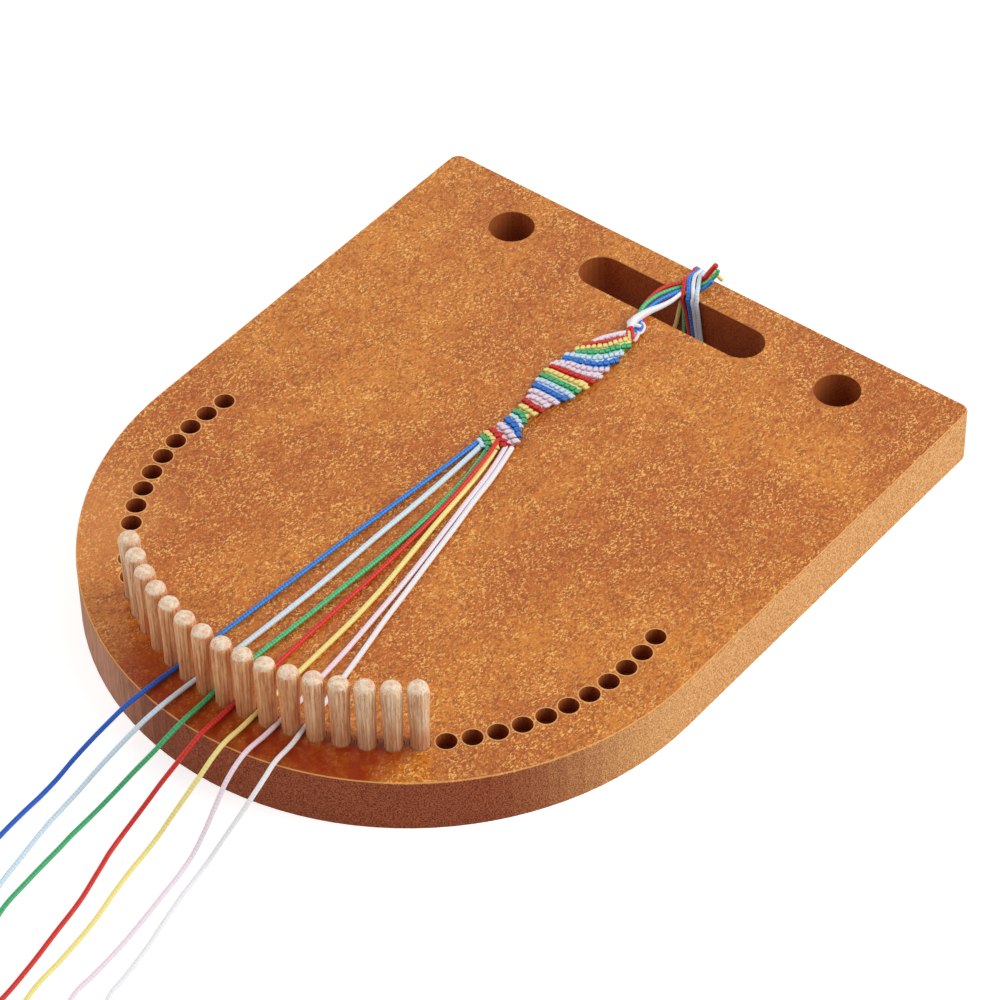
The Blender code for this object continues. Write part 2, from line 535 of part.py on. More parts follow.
def make_wrap(name, finish):
    """One turn round the bar: up the back, over the top and the leads, down the slot's wall and
    back along the shallow cut under the bar, to meet its own start."""
    front_top, front_foot, back_top, back_foot = (value * MM for value in WRAPS[name])
    reach = LAY_GAP + TIE_DIAMETER / 2 + 0.03 * MM
    wall = BAR_FRONT_Y - reach
    below = LAY_GAP + TIE_DIAMETER / 2
    over = BOARD_THICKNESS + 2.5 * MM
    meet = (BAR_FRONT_Y + BOARD_STRAIGHT) / 2
    span = WRAP_BACK_Y - wall

    def lane(y, front, back, bend=1.0):
        share = min(max((y - wall) / span, 0.0), 1.0)
        return front + (back - front) * (1 - (1 - share) ** bend)

    loop = [(meet + 0.7 * MM, below, "under"), (meet + 3.2 * MM, below, "under")]
    loop += [(y, z, "under") for y, z in corner_points(BOARD_STRAIGHT, RELIEF_DEPTH, reach, -90)]
    loop += [(WRAP_BACK_Y, BOARD_THICKNESS * share, "back") for share in (0.36, 0.62)]
    loop += [(y, z, "over") for y, z in corner_points(BOARD_STRAIGHT, BOARD_THICKNESS, reach, 0)[:2]]
    loop += [(BOARD_STRAIGHT - 0.3 * MM, BOARD_THICKNESS + 1.5 * MM, "over"),
             (BOARD_STRAIGHT - 1.6 * MM, over - 0.2 * MM, "over"), (meet + 1.2 * MM, over, "over"),
             (meet - 1.2 * MM, over, "over"), (BAR_FRONT_Y + 1.3 * MM, over, "over"),
             (BAR_FRONT_Y, BOARD_THICKNESS + 2.1 * MM, "over")]
    loop += [(y, z, "over") for y, z in corner_points(BAR_FRONT_Y, BOARD_THICKNESS, reach, 90)[1:]]
    loop += [(wall, BOARD_THICKNESS * share, "front") for share in (0.62, 0.36)]
    loop += [(y, z, "under") for y, z in corner_points(BAR_FRONT_Y, RELIEF_DEPTH, reach, 180)]
    loop += [(meet - 3.2 * MM, below, "under"), (meet - 0.7 * MM, below, "under")]
    points = []
    for y, z, side in loop:
        drop = (z - below) / (BOARD_THICKNESS - below)
        x = {"under": lane(y, front_foot, back_foot), "over": lane(y, front_top, back_top, WRAP_BEND),
             "back": back_foot + (back_top - back_foot) * drop,
             "front": front_foot + (front_top - front_foot) * drop}[side]
        points.append((x, y, z))
    tube(f"wrap_{name}", points, TIE_DIAMETER, 1, finish)


def make_slot_strands():
    """Two more strings, seen in the slot to the left of the wraps, and an end behind the bar."""
    reach = LAY_GAP + TIE_DIAMETER / 2 + 0.03 * MM
    wall = BAR_FRONT_Y - reach
    below = LAY_GAP + TIE_DIAMETER / 2
    top = BOARD_THICKNESS
    strands = {"yellow": (-2.1, -3.7), "green": (-0.55, 0.3)}
    for name, (high_x, low_x) in strands.items():
        high_x *= MM
        low_x *= MM
        points = [(high_x, wall, top - 3.0 * MM), (high_x * 0.7 + low_x * 0.3, wall, top * 0.62),
                  (high_x * 0.35 + low_x * 0.65, wall, top * 0.36)]
        points += [(low_x, y, z) for y, z in corner_points(BAR_FRONT_Y, RELIEF_DEPTH, reach, 180)]
        points.append((low_x - 0.8 * MM, BAR_FRONT_Y + 1.7 * MM, below))
        tube(f"slot_strand_{name}", points, TIE_DIAMETER, 1,
             material(f"string_{name}", COLOURS[name], 0.45))
    back = WRAP_BACK_Y
    tail = [(2.7 * MM, back, top - 9 * MM), (2.5 * MM, back, top - 4 * MM), (2.1 * MM, back, top + 0.3 * MM),
            (2.0 * MM, back, top + 2.1 * MM), (3.0 * MM, back, top + 2.7 * MM),
            (4.5 * MM, back, top + 2.0 * MM), (5.8 * MM, back, top + 1.6 * MM)]
    tube("tail_yellow", smooth_path(tail, 2.4 * MM), TIE_DIAMETER, 1,
         material("string_yellow", COLOURS["yellow"], 0.45))


def make_band():
    """The knotted length: a flat spindle with a narrow twisted neck near its working end."""
    rings = []
    floor = BOARD_THICKNESS + LAY_GAP
    for left_x, left_y, right_x, right_y, thickness in BAND_SECTIONS:
        left = Vector((left_x, left_y, 0)) * MM
        right = Vector((right_x, right_y, 0)) * MM
        half_height = thickness * MM / 2
        ring = []
        for i in range(BAND_SIDES):
            angle = math.tau * i / BAND_SIDES
            across = math.copysign(abs(math.cos(angle)) ** 0.6, math.cos(angle))
            up = math.copysign(abs(math.sin(angle)) ** 0.75, math.sin(angle))
            point = (left + right) / 2 + (right - left) / 2 * across
            ring.append((point.x, point.y, floor + half_height * (1 + up)))
        rings.append(ring)
    data = skin_rings("knotted_band", rings)
    smooth_rounds(data)
    place("knotted_band", data, material("knotted_cotton", COLOURS["pink"], 0.7))


clear_scene()
make_board()
make_pegs()
make_band()
for colour_name, colour in COLOURS.items():
    string_finish = material(f"string_{colour_name}", colour, 0.45)
    make_string(colour_name, string_finish)
    make_coil(colour_name, string_finish)
    make_wrapper(colour_name, material("paper_band", (0.72, 0.66, 0.55), 0.8))
for lead_name in LEADS:
    make_lead(lead_name, material(f"string_{lead_name}", COLOURS[lead_name], 0.45))
for wrap_name in WRAPS:
    make_wrap(wrap_name, material(f"string_{wrap_name}", COLOURS[wrap_name], 0.45))
make_slot_strands()
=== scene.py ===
# Bracelet maker: a round-fronted wooden board with a row of pegs, a slot with a bar behind it,
# and a knotted bracelet in progress whose strings run between the pegs and down to the table.
# Metres, +Z up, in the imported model's frame.
from math import asin, copysign, cos, pi, radians, sin, tan, tau

import bmesh
import bpy
import numpy as np
from mathutils import Matrix, Vector


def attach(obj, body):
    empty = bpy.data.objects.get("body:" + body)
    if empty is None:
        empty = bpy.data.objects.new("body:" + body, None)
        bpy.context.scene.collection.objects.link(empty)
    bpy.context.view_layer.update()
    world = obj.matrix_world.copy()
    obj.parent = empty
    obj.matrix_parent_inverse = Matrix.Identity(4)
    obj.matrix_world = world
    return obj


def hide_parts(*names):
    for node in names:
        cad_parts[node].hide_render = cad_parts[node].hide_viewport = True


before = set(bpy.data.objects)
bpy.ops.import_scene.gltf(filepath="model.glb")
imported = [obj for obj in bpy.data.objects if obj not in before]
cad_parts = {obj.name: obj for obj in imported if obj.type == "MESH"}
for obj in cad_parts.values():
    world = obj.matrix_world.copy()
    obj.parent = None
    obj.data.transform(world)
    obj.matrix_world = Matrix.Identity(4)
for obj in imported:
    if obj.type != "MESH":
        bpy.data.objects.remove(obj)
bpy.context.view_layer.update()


# Camera
# A long lens looks at the board from its front right, about 44 degrees above the table,
# with the horizon turned by a little over one degree.
MM = 0.001


def in_scene(name, data):
    made = bpy.data.objects.new(name, data)
    bpy.context.scene.collection.objects.link(made)
    return made


camera_data = bpy.data.cameras.new("camera")
camera_data.sensor_width = 36
camera_data.lens = 158.94
camera_data.clip_start = 0.05
camera_data.clip_end = 20
camera = in_scene("camera", camera_data)
azimuth = radians(-39.162)
elevation = radians(44.05)
roll = radians(-1.18)
aim = Vector((-0.85 * MM, 18.3 * MM, 0))
distance = 1356.9 * MM
look = Vector((sin(azimuth) * cos(elevation), cos(azimuth) * cos(elevation), -sin(elevation)))
level = Vector((cos(azimuth), -sin(azimuth), 0))
above = level.cross(look)
across_view = level * cos(roll) + above * sin(roll)
up_view = above * cos(roll) - level * sin(roll)
axes = Matrix((across_view, up_view, -look)).transposed()
camera.matrix_world = Matrix.Translation(aim - look * distance) @ axes.to_4x4()
bpy.context.scene.camera = camera


# Board
# One piece of stained and varnished sheet wood, routed to a half-round front, with a slot, two
# round holes and a row of drilled holes. Its sawn edges are sanded and only lightly stained.
ARC_CENTRE_Y = -23.1 * MM  # the centre of the half-round front, from which the lists are written
BOARD_TOP = 19 * MM
BOARD_RADIUS = 101.5 * MM
BACK_EDGE = 146.2 * MM
PEG_RING_RADIUS = 84 * MM
PEG_RING_CENTRE = -2.7 * MM
HOLE_SPACING = 7.55 * MM
HOLE_PITCH = 2 * asin(HOLE_SPACING / 2 / PEG_RING_RADIUS)  # the angle from one hole to the next
HOLES_PER_SIDE = 19
HOLE_RADIUS = 3.2 * MM
FIRST_PEG, LAST_PEG = -7, 8  # the holes that hold pegs, counted from the one in the middle


class Value:
    """What comes out of a node. Plain sums with it make the maths nodes for them."""

    def __init__(self, socket):
        self.socket, self.tree = socket, socket.id_data

    def __getitem__(self, output):
        return Value(self.socket.node.outputs[output])

    def __rsub__(self, other):
        return calc("SUBTRACT", other, self)


for sign, operation in (("add", "ADD"), ("sub", "SUBTRACT"), ("mul", "MULTIPLY"),
                        ("truediv", "DIVIDE"), ("lt", "LESS_THAN"), ("abs", "ABSOLUTE")):
    setattr(Value, f"__{sign}__", lambda *values, operation=operation: calc(operation, *values))


def fill(socket, value):
    """Links a value to a socket, or sets the socket to it."""
    if isinstance(value, Value):
        socket.id_data.links.new(value.socket, socket)
    else:
        socket.default_value = value


def add(tree, kind, inputs=None, **settings):
    """The first output of a new node, with its settings and its inputs."""
    made = tree.nodes.new(kind)
    for key, value in settings.items():
        setattr(made, key, value)
    for key, value in (inputs or {}).items():
        fill(made.inputs[key], value)
    return Value(made.outputs[0])


def calc(operation, *values, clamp=False):
    tree = next(value.tree for value in values if isinstance(value, Value))
    inputs = dict(enumerate(values))
    return add(tree, "ShaderNodeMath", inputs, operation=operation, use_clamp=clamp)


def axes_of(vector):
    split = add(vector.tree, "ShaderNodeSeparateXYZ", {0: vector})
    return split, split["Y"], split["Z"]


def ramp(value, low, high):
    """0 at the low value and 1 at the high one, smooth between."""
    inputs = {"Value": value, "From Min": low, "From Max": high}
    return add(value.tree, "ShaderNodeMapRange", inputs, interpolation_type="SMOOTHSTEP")


def mix(share, first, second):
    return add(share.tree, "ShaderNodeMix", {0: share, 2: first, 3: second})


def blend(share, under, over):
    """A share of one colour laid over another."""
    under, over = (tone if isinstance(tone, Value) else (*tone, 1) for tone in (under, over))
    return add(share.tree, "ShaderNodeMix", {0: share, 6: under, 7: over}, data_type="RGBA")[2]


def noise(vector, scale, detail=3, distortion=0):
    inputs = {"Vector": vector, "Scale": scale, "Detail": detail, "Distortion": distortion}
    return add(vector.tree, "ShaderNodeTexNoise", inputs)["Fac"]


def stretched(vector, scale):
    return add(vector.tree, "ShaderNodeMapping", {"Vector": vector, "Scale": scale})


def bump(height, depth):
    return add(height.tree, "ShaderNodeBump", {"Height": height, "Distance": depth})


def set_shader(shader, **values):
    """Sets or links a shader's inputs, whose names have underscores here for spaces."""
    for key, value in values.items():
        fill(shader.inputs[key.replace("_", " ")], value)


def new_finish(name, **constants):
    """A material, its shader with the unvarying values set, and places on the object."""
    made = bpy.data.materials.new(name)
    made.use_nodes = True
    shader = made.node_tree.nodes["Principled BSDF"]
    set_shader(shader, **constants)
    return made, shader, add(made.node_tree, "ShaderNodeTexCoord")


def new_group(name, inputs, outputs, family="Shader"):
    """A node group with named inputs and outputs, each with its kind of socket."""
    tree = bpy.data.node_groups.new(name, f"{family}NodeTree")
    for way, sockets in (("INPUT", inputs), ("OUTPUT", outputs)):
        for label, kind in sockets.items():
            tree.interface.new_socket(label, in_out=way, socket_type=f"NodeSocket{kind}")
    return tree, add(tree, "NodeGroupInput"), tree.nodes.new("NodeGroupOutput").inputs


def make_fibre_group():
    """Long wood fibres: a tone that runs along them, and fine dark pores."""
    tree, given, out = new_group(
        "wood fibres", {"Vector": "Vector", "Fineness": "Float", "Pore share": "Float"},
        {"Tone": "Float", "Pores": "Float"})
    place, fineness = given["Vector"], given["Fineness"]
    broad = noise(place, fineness, 4, 0.3)
    fine = noise(place, fineness * 3.7, 2)
    fill(out["Tone"], ramp(broad * 0.65 + fine * 0.35, 0.34, 0.66))
    dots = noise(place, fineness * 5.5, 1)
    edge = 0.78 - given["Pore share"] * 0.4
    fill(out["Pores"], ramp(dots - edge, 0, 0.06))
    return tree


fibre_group = make_fibre_group()


def fibres(vector, fineness, pore_share):
    inputs = {"Vector": vector, "Fineness": fineness, "Pore share": pore_share}
    return add(vector.tree, "ShaderNodeGroup", inputs, node_tree=fibre_group)


def make_board_finish():
    made, shader, where = new_finish("stained board", IOR=1.45, Specular_IOR_Level=0.2,
                                     Coat_Roughness=0.13)
    here = where["Object"]
    x, y, z = axes_of(here)
    y = y - ARC_CENTRE_Y
    facing_x, facing_y, facing_z = axes_of(where["Normal"])
    to_left, to_front = facing_x * -1, facing_y * -1

    # How far in from the outline a point is, which tells the outer edge from the cut-outs
    behind = calc("MINIMUM", BOARD_RADIUS - abs(x), BACK_EDGE - y)
    radius = calc("SQRT", x * x + y * y)
    is_front = y < 0
    inside = ramp(mix(is_front, behind, BOARD_RADIUS - radius), 2 * MM, 4 * MM)
    top_face = ramp(facing_z, 0.8, 0.97)
    side_face = 1 - ramp(abs(facing_z), 0.15, 0.5)

    # Distance from the middle of the nearest drilled hole
    ring_y = PEG_RING_CENTRE - y
    reach = calc("SQRT", x * x + ring_y * ring_y)
    angle = calc("ARCTAN2", x, ring_y)
    number = calc("MINIMUM", calc("ROUND", angle / HOLE_PITCH), HOLES_PER_SIDE)
    number = calc("MAXIMUM", number, -HOLES_PER_SIDE)
    off_angle = angle - number * HOLE_PITCH
    sideways = reach * calc("SINE", off_angle)
    outwards = reach * calc("COSINE", off_angle) - PEG_RING_RADIUS
    past_hole = calc("SQRT", sideways * sideways + outwards * outwards) - HOLE_RADIUS
    in_hole = 1 - ramp(past_hole, 0.02 * MM, 0.08 * MM)
    ring = ramp(past_hole, -0.1 * MM, 0) * (1 - ramp(past_hole, 0.18 * MM, 0.42 * MM))
    filled = abs(number - (FIRST_PEG + LAST_PEG) / 2) < (LAST_PEG - FIRST_PEG) / 2 + 0.4
    ring = ring * (1 - filled * 0.85)

    # The face: short wavy light flecks over soft patches of tone, with faint streaks along it
    wavy = stretched(here, (1, 0.6, 1))
    crowded = ramp(noise(here, 120, 2, 0.5), 0.36, 0.6)
    flecks = ramp(noise(wavy, 1700, 1.5, 0.8), 0.535, 0.62) * (crowded * 0.6 + 0.4)
    shadows = ramp(noise(wavy, 760, 2, 1.2), 0.38, 0.54)
    mottle = ramp(noise(here, 75, 3, 0.6), 0.36, 0.66)
    patches = ramp(noise(stretched(here, (1, 0.7, 1)), 15, 2, 0.8), 0.38, 0.62)
    streak = fibres(stretched(here, (1, 0.07, 1)), 210, 0.25)["Tone"]
    face = blend(patches, (0.49, 0.108, 0.007), (0.68, 0.213, 0.017))
    face = blend(mottle * 0.45, face, (0.47, 0.112, 0.014))
    face = blend(streak * 0.24, face, (0.7, 0.23, 0.028))
    face = blend((1 - shadows) * 0.6, face, (0.27, 0.046, 0.006))
    face = blend(flecks * 0.92, face, (0.98, 0.52, 0.135))

    # Painted reflection of the pegs in the varnish: dark red blotches between the front pegs and
    # the rim, where the coat is also thinner
    by_pegs = calc("MINIMUM", ramp(x, -60 * MM, -14 * MM), ramp(x, 61 * MM, 50 * MM) * is_front)
    painted_peg_reflection = ramp(radius - PEG_RING_RADIUS, -4 * MM, 4 * MM) * by_pegs
    blotches = calc("MULTIPLY_ADD", noise(here, 190, 2, 0.8), 0.9, 0.44, clamp=True)
    face = blend(painted_peg_reflection * blotches, face, (0.29, 0.026, 0.001))
    # Painted light: the board is paler round the left end of the pegs' row, where their shade falls
    painted_light_left = ramp(x, -52 * MM, -76 * MM) * ramp(y, -18 * MM, -56 * MM)
    face = blend(painted_light_left * 0.34, face, (0.96, 0.4, 0.11))

    # The outer edge: pale and sandy on the right, darker and redder round the front, with lines at
    # the front left. That darkness is partly stain and partly painted shade on the side turned from
    # the light
    grains = ramp(noise(here, 2300, 2), 0.36, 0.64)
    pale_edge = blend(grains, (0.48, 0.195, 0.06), (0.96, 0.54, 0.22))
    pale_edge = blend(noise(here, 700, 3) * 0.3, pale_edge, (0.675, 0.306, 0.09))
    dark_and_shaded_edge = blend(grains, (0.165, 0.027, 0.008), (0.47, 0.122, 0.046))
    lines = fibres(stretched(here, (1, 1, 0.12)), 900, 0.4)["Tone"]
    lined_and_shaded_edge = blend(lines, (0.13, 0.032, 0.016), (0.33, 0.1, 0.048))
    pale_lines = blend(lines, (0.37, 0.165, 0.095), (0.58, 0.285, 0.175))
    lined_and_shaded_edge = blend(ramp(to_left, 0.08, 0.42), lined_and_shaded_edge, pale_lines)
    edge = blend(ramp(to_front, 0.1, 0.66), pale_edge, dark_and_shaded_edge)
    edge = blend(ramp(to_left, -0.1, 0.35), edge, lined_and_shaded_edge)
    edge = blend(ramp(to_left, 0.62, 0.97) * 0.75, edge, pale_edge)

    # Inside the cut-outs the wood has drunk more stain, and painted shade darkens it further. Walls
    # that face the light on the right are painted lighter, as painted light, and the holes that
    # hold pegs are painted paler against the shade in the gap round each peg
    cut = blend(grains, (0.24, 0.038, 0.005), (0.4, 0.088, 0.017))
    cut = blend(ramp(facing_x, 0.35, 0.95) * 0.65, cut, (0.48, 0.135, 0.032))
    drilled = blend(grains, (0.23, 0.036, 0.009), (0.33, 0.066, 0.017))
    lit_wall = ramp(facing_x, 0.3, 0.95) * ramp(z, BOARD_TOP - 5 * MM, BOARD_TOP)
    drilled = blend(lit_wall, drilled, (0.47, 0.125, 0.03))
    drilled = blend(filled, drilled, (0.42, 0.115, 0.022))

    colour = blend(side_face, face, blend(inside, edge, cut))
    colour = blend(in_hole * inside, colour, drilled)
    # A thin pale line along the top edge, and pale rings round the empty holes, whose edges are
    # sanded
    arris = ramp(z, BOARD_TOP - 0.36 * MM, BOARD_TOP - 0.22 * MM) * (1 - top_face)
    pale_rings_and_arris = calc("MAXIMUM", ring * top_face * 0.85, arris * (1 - in_hole) * 0.75)
    set_shader(shader, Base_Color=blend(pale_rings_and_arris, colour, (0.86, 0.45, 0.15)),
               Roughness=mix(side_face, mottle * 0.14 + 0.36, 0.72),
               Coat_Weight=top_face * (painted_peg_reflection * -0.28 + 0.42),
               Normal=bump(flecks + grains * (side_face * 1.5), 0.035 * MM))
    return made


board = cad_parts["board"]
board.data.materials.clear()
board.data.materials.append(make_board_finish())


# Pegs
# Sixteen fluted beech dowel pins with rounded ends, each pushed 5.4 mm into its own hole. They
# are plain wood, cut across the grain at the top, and each one pulls straight up.
PEG_RADIUS = 3 * MM
PEG_SEAT = 5.4 * MM
FLUTES = 16
FLUTE_DEPTH = 0.2 * MM
PEG_SIDES = 96
PEG_TWIST = 0.7  # how far each peg is turned against the one before, in radians

# Share of the radius, height above the foot in millimetres, and share of the flutes' depth
PEG_PROFILE = (
    (0.66, 0, 0), (0.8, 0.45, 0), (0.98, 0.95, 0.2), (1.01, 4.6, 0.2), (0.985, 5.3, 0.5),
    (0.94, 6.2, 1), (0.94, 10, 1), (0.975, 15, 1), (1.03, 20.5, 1), (1.09, 25, 1), (1.11, 26.6, 1),
    (1.09, 27.4, 0.9), (1.03, 28.2, 0.7), (0.93, 28.9, 0.4), (0.79, 29.4, 0.2), (0.59, 29.75, 0),
    (0.36, 29.94, 0), (0.13, 30, 0),
)


def make_peg_finish():
    made, shader, where = new_finish("bare beech", Roughness=0.62, IOR=1.45)
    here = where["Object"]
    across, _, height = axes_of(here)
    grain = fibres(stretched(here, (1, 1, 0.06)), 950, 0.5)
    at_right = ramp(across, 18 * MM, 50 * MM)
    paler = calc("MAXIMUM", at_right, ramp(across, -34 * MM, -47 * MM))
    light = blend(paler, (0.98, 0.59, 0.285), (0.98, 0.77, 0.51))
    shaded = blend(paler, (0.62, 0.19, 0.06), (0.65, 0.29, 0.125))
    side = blend(grain["Tone"], shaded, light)
    # Painted shade in the grooves of the flutes darkens them
    groove = add(made.node_tree, "ShaderNodeAttribute", attribute_name="groove")["Fac"]
    side = blend(groove * 0.26, side, (0.4, 0.125, 0.048))
    # Painted shade and a painted reddish reflection of the board darken the lower part of each peg
    low = 1 - ramp(height, BOARD_TOP - 1 * MM, BOARD_TOP + 16 * MM)
    side = blend(low * 0.42, side, (0.52, 0.15, 0.045))
    side = blend(grain["Pores"] * 0.46, side, (0.3, 0.105, 0.04))
    end_tone = ramp(noise(here, 620, 3), 0.35, 0.65)
    end = blend(end_tone, (0.86, 0.55, 0.36), (0.98, 0.82, 0.62))
    end_spots = ramp(noise(here, 2100, 2), 0.57, 0.67)
    end = blend(end_spots * 0.55, end, (0.36, 0.19, 0.095))
    top = ramp(axes_of(where["Normal"])[2], 0.22, 0.5)
    set_shader(shader, Base_Color=blend(top, side, end),
               Normal=bump(grain["Tone"] + end_tone, 0.05 * MM))
    return made


def ring_centre(step):
    """The middle of a drilled hole; half steps are the gaps between two pegs."""
    angle = step * HOLE_PITCH
    return (PEG_RING_RADIUS * sin(angle),
            ARC_CENTRE_Y + PEG_RING_CENTRE - PEG_RING_RADIUS * cos(angle))


def skin(shape, rings, marks=()):
    """Faces between rings of corners and over both ends. Marks, the lengths at which the rings
    lie, also give it a map that runs once round and along in metres."""
    sides, last = len(rings[0]), len(rings) - 1
    layer = shape.loops.layers.uv.new("UVMap") if marks else None

    def face(corners, is_end=False):
        made = shape.faces.new([rings[i][k % sides] for i, k in corners])
        made.smooth = True
        for loop, (i, k) in zip(made.loops, corners if marks else ()):
            loop[layer].uv = (0.5 if is_end else k / sides, marks[i])

    face([(0, k) for k in reversed(range(sides))], is_end=True)
    face([(last, k) for k in range(sides)], is_end=True)
    for i in range(last):
        for k in range(sides):
            face(((i, k), (i, k + 1), (i + 1, k + 1), (i + 1, k)))


def from_shape(shape, name, *finishes):
    """The object that a finished shape becomes, with its materials."""
    data = bpy.data.meshes.new(name)
    shape.to_mesh(data)
    shape.free()
    for finish in finishes:
        data.materials.append(finish)
    return in_scene(name, data)


def make_peg(name, step):
    """A turned profile from the foot's chamfer to the rounded top, with flutes pressed in."""
    x, y = ring_centre(step)
    shape = bmesh.new()
    grooved = shape.verts.layers.float.new("groove")
    rings = []
    for share, z, pressed in PEG_PROFILE:
        ring = []
        for i in range(PEG_SIDES):
            angle = tau * i / PEG_SIDES
            groove = max(0, cos(angle * FLUTES)) ** 2 * pressed
            radius = PEG_RADIUS * share - FLUTE_DEPTH * groove
            turn = angle + step * PEG_TWIST
            vert = shape.verts.new((x + radius * cos(turn), y + radius * sin(turn),
                                    BOARD_TOP - PEG_SEAT + z * MM))
            vert[grooved] = groove
            ring.append(vert)
        rings.append(ring)
    skin(shape, rings)
    return from_shape(shape, name, peg_finish)


peg_finish = make_peg_finish()
for number, step in enumerate(range(FIRST_PEG, LAST_PEG + 1), start=1):
    node = f"peg_{number:02d}"
    peg = make_peg(f"dowel_{number:02d}", step)
    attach(peg, node)
    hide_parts(node)


# Strings
# Seven smooth braided strings, 1.5 mm thick. Each leaves the knotted band, is pinched between two
# pegs, runs over the rim to the table, and its unseen length lies there in a small coil.
STRING_DIAMETER = 1.5 * MM
LAY_GAP = 0.3 * MM
FLOOR_GAP = 0.05 * MM
PINCHED = (1.55 - 0.15) / 1.5  # the gap between two pegs less its play, over the thickness
PINCH_REACH = 3.2 * MM
TAUT_REACH = 12 * MM
COIL_TURNS = 3
COIL_RADIUS = 9.5 * MM
COIL_TURN_PITCH = 2 * MM
COIL_STEPS = 16
COIL_LOW = FLOOR_GAP + 0.6 * MM + STRING_DIAMETER / 2  # above the paper band and its clearance

# Light and shaded colour of each string, and the colour of the painted shade in the hollows between
# its knots
STRING_TONES = {
    "blue": ((0.06, 0.36, 0.93), (0.003, 0.065, 0.48), (0.002, 0.012, 0.17)),
    "light_blue": ((0.88, 0.95, 0.985), (0.46, 0.7, 0.9), (0.17, 0.32, 0.58)),
    "green": ((0.15, 0.7, 0.3), (0.008, 0.27, 0.095), (0.001, 0.08, 0.03)),
    "red": ((0.9, 0.055, 0.035), (0.47, 0.004, 0.004), (0.2, 0.002, 0.003)),
    "yellow": ((0.975, 0.91, 0.38), (0.9, 0.7, 0.15), (0.54, 0.35, 0.08)),
    "pink": ((0.97, 0.87, 0.93), (0.86, 0.66, 0.78), (0.46, 0.29, 0.36)),
    "white": ((0.97, 0.965, 0.975), (0.84, 0.84, 0.89), (0.4, 0.4, 0.48)),
}

# How much thicker or thinner each string lies where it is pulled tight
TAUT_CHANGE = {"blue": -0.06, "light_blue": 0.14, "green": 0, "red": -0.08, "yellow": 0.06,
    "pink": 0.06, "white": 0.11}

# How much deeper each colour looks beyond the pegs, where the string hangs loose in their shade
LOOSE_SHADE = {"blue": 0.75, "light_blue": 0.1, "green": 0.4, "red": 0.25, "yellow": 0, "pink": 0,
    "white": 0}

# Millimetres above the board, which most points of the first routes share, and above the table
ON_BOARD, ON_TABLE = 1.05, 0.8
ROUTES_TO_PEGS = {
    "blue": ((-8.9, 42, 1.1), (-9.5, 34), (-10.4, 22), (-12.1, 2), (-13.85, -18), (-15.75, -44),
      (-17.4, -66), (-18.2, -77)),
    "light_blue": ((-7.1, 42.6, 1.1), (-6.95, 36), (-6.7, 22), (-6.8, 8), (-7.25, -8), (-7.4, -22),
      (-7.75, -38), (-8.6, -54), (-9.5, -68), (-10.3, -77)),
    "green": ((-5.3, 43.25, 1.1), (-3.6, 36), (-2.1, 28), (-0.85, 14), (-0.45, -1), (-0.75, -17),
      (-1.55, -33), (-2.35, -50), (-3.4, -66), (-3.8, -76)),
    "red": ((-3.3, 43.95, 2.95), (-1.9, 38, 2.85), (-0.8, 30, 2.55), (0.4, 20, 1.95),
      (1.1, 8, 1.25), (1.6, -1), (2.3, -14), (2.65, -30), (2.85, -45), (3.05, -60), (3.6, -76)),
    "yellow": ((-3, 44.05, 1.1), (-1.5, 38), (0.1, 30), (1.4, 21), (3.3, 6), (6, -12), (8, -26),
      (9.4, -41), (10.1, -57), (10.9, -77)),
    "pink": ((-0.9, 44.75, 1.1), (0.8, 39), (2.5, 32), (4.6, 20), (7.3, 5), (9.85, -9),
      (12.05, -23), (13.9, -37), (15.7, -51), (17, -64), (18.2, -75)),
    "white": ((1, 45.4, 1.1), (2.6, 39), (4.3, 32), (6.3, 20.5), (9, 7), (11.6, -7), (14.3, -21),
      (16.9, -35), (19.7, -48), (22.1, -60), (24.9, -75)),
}
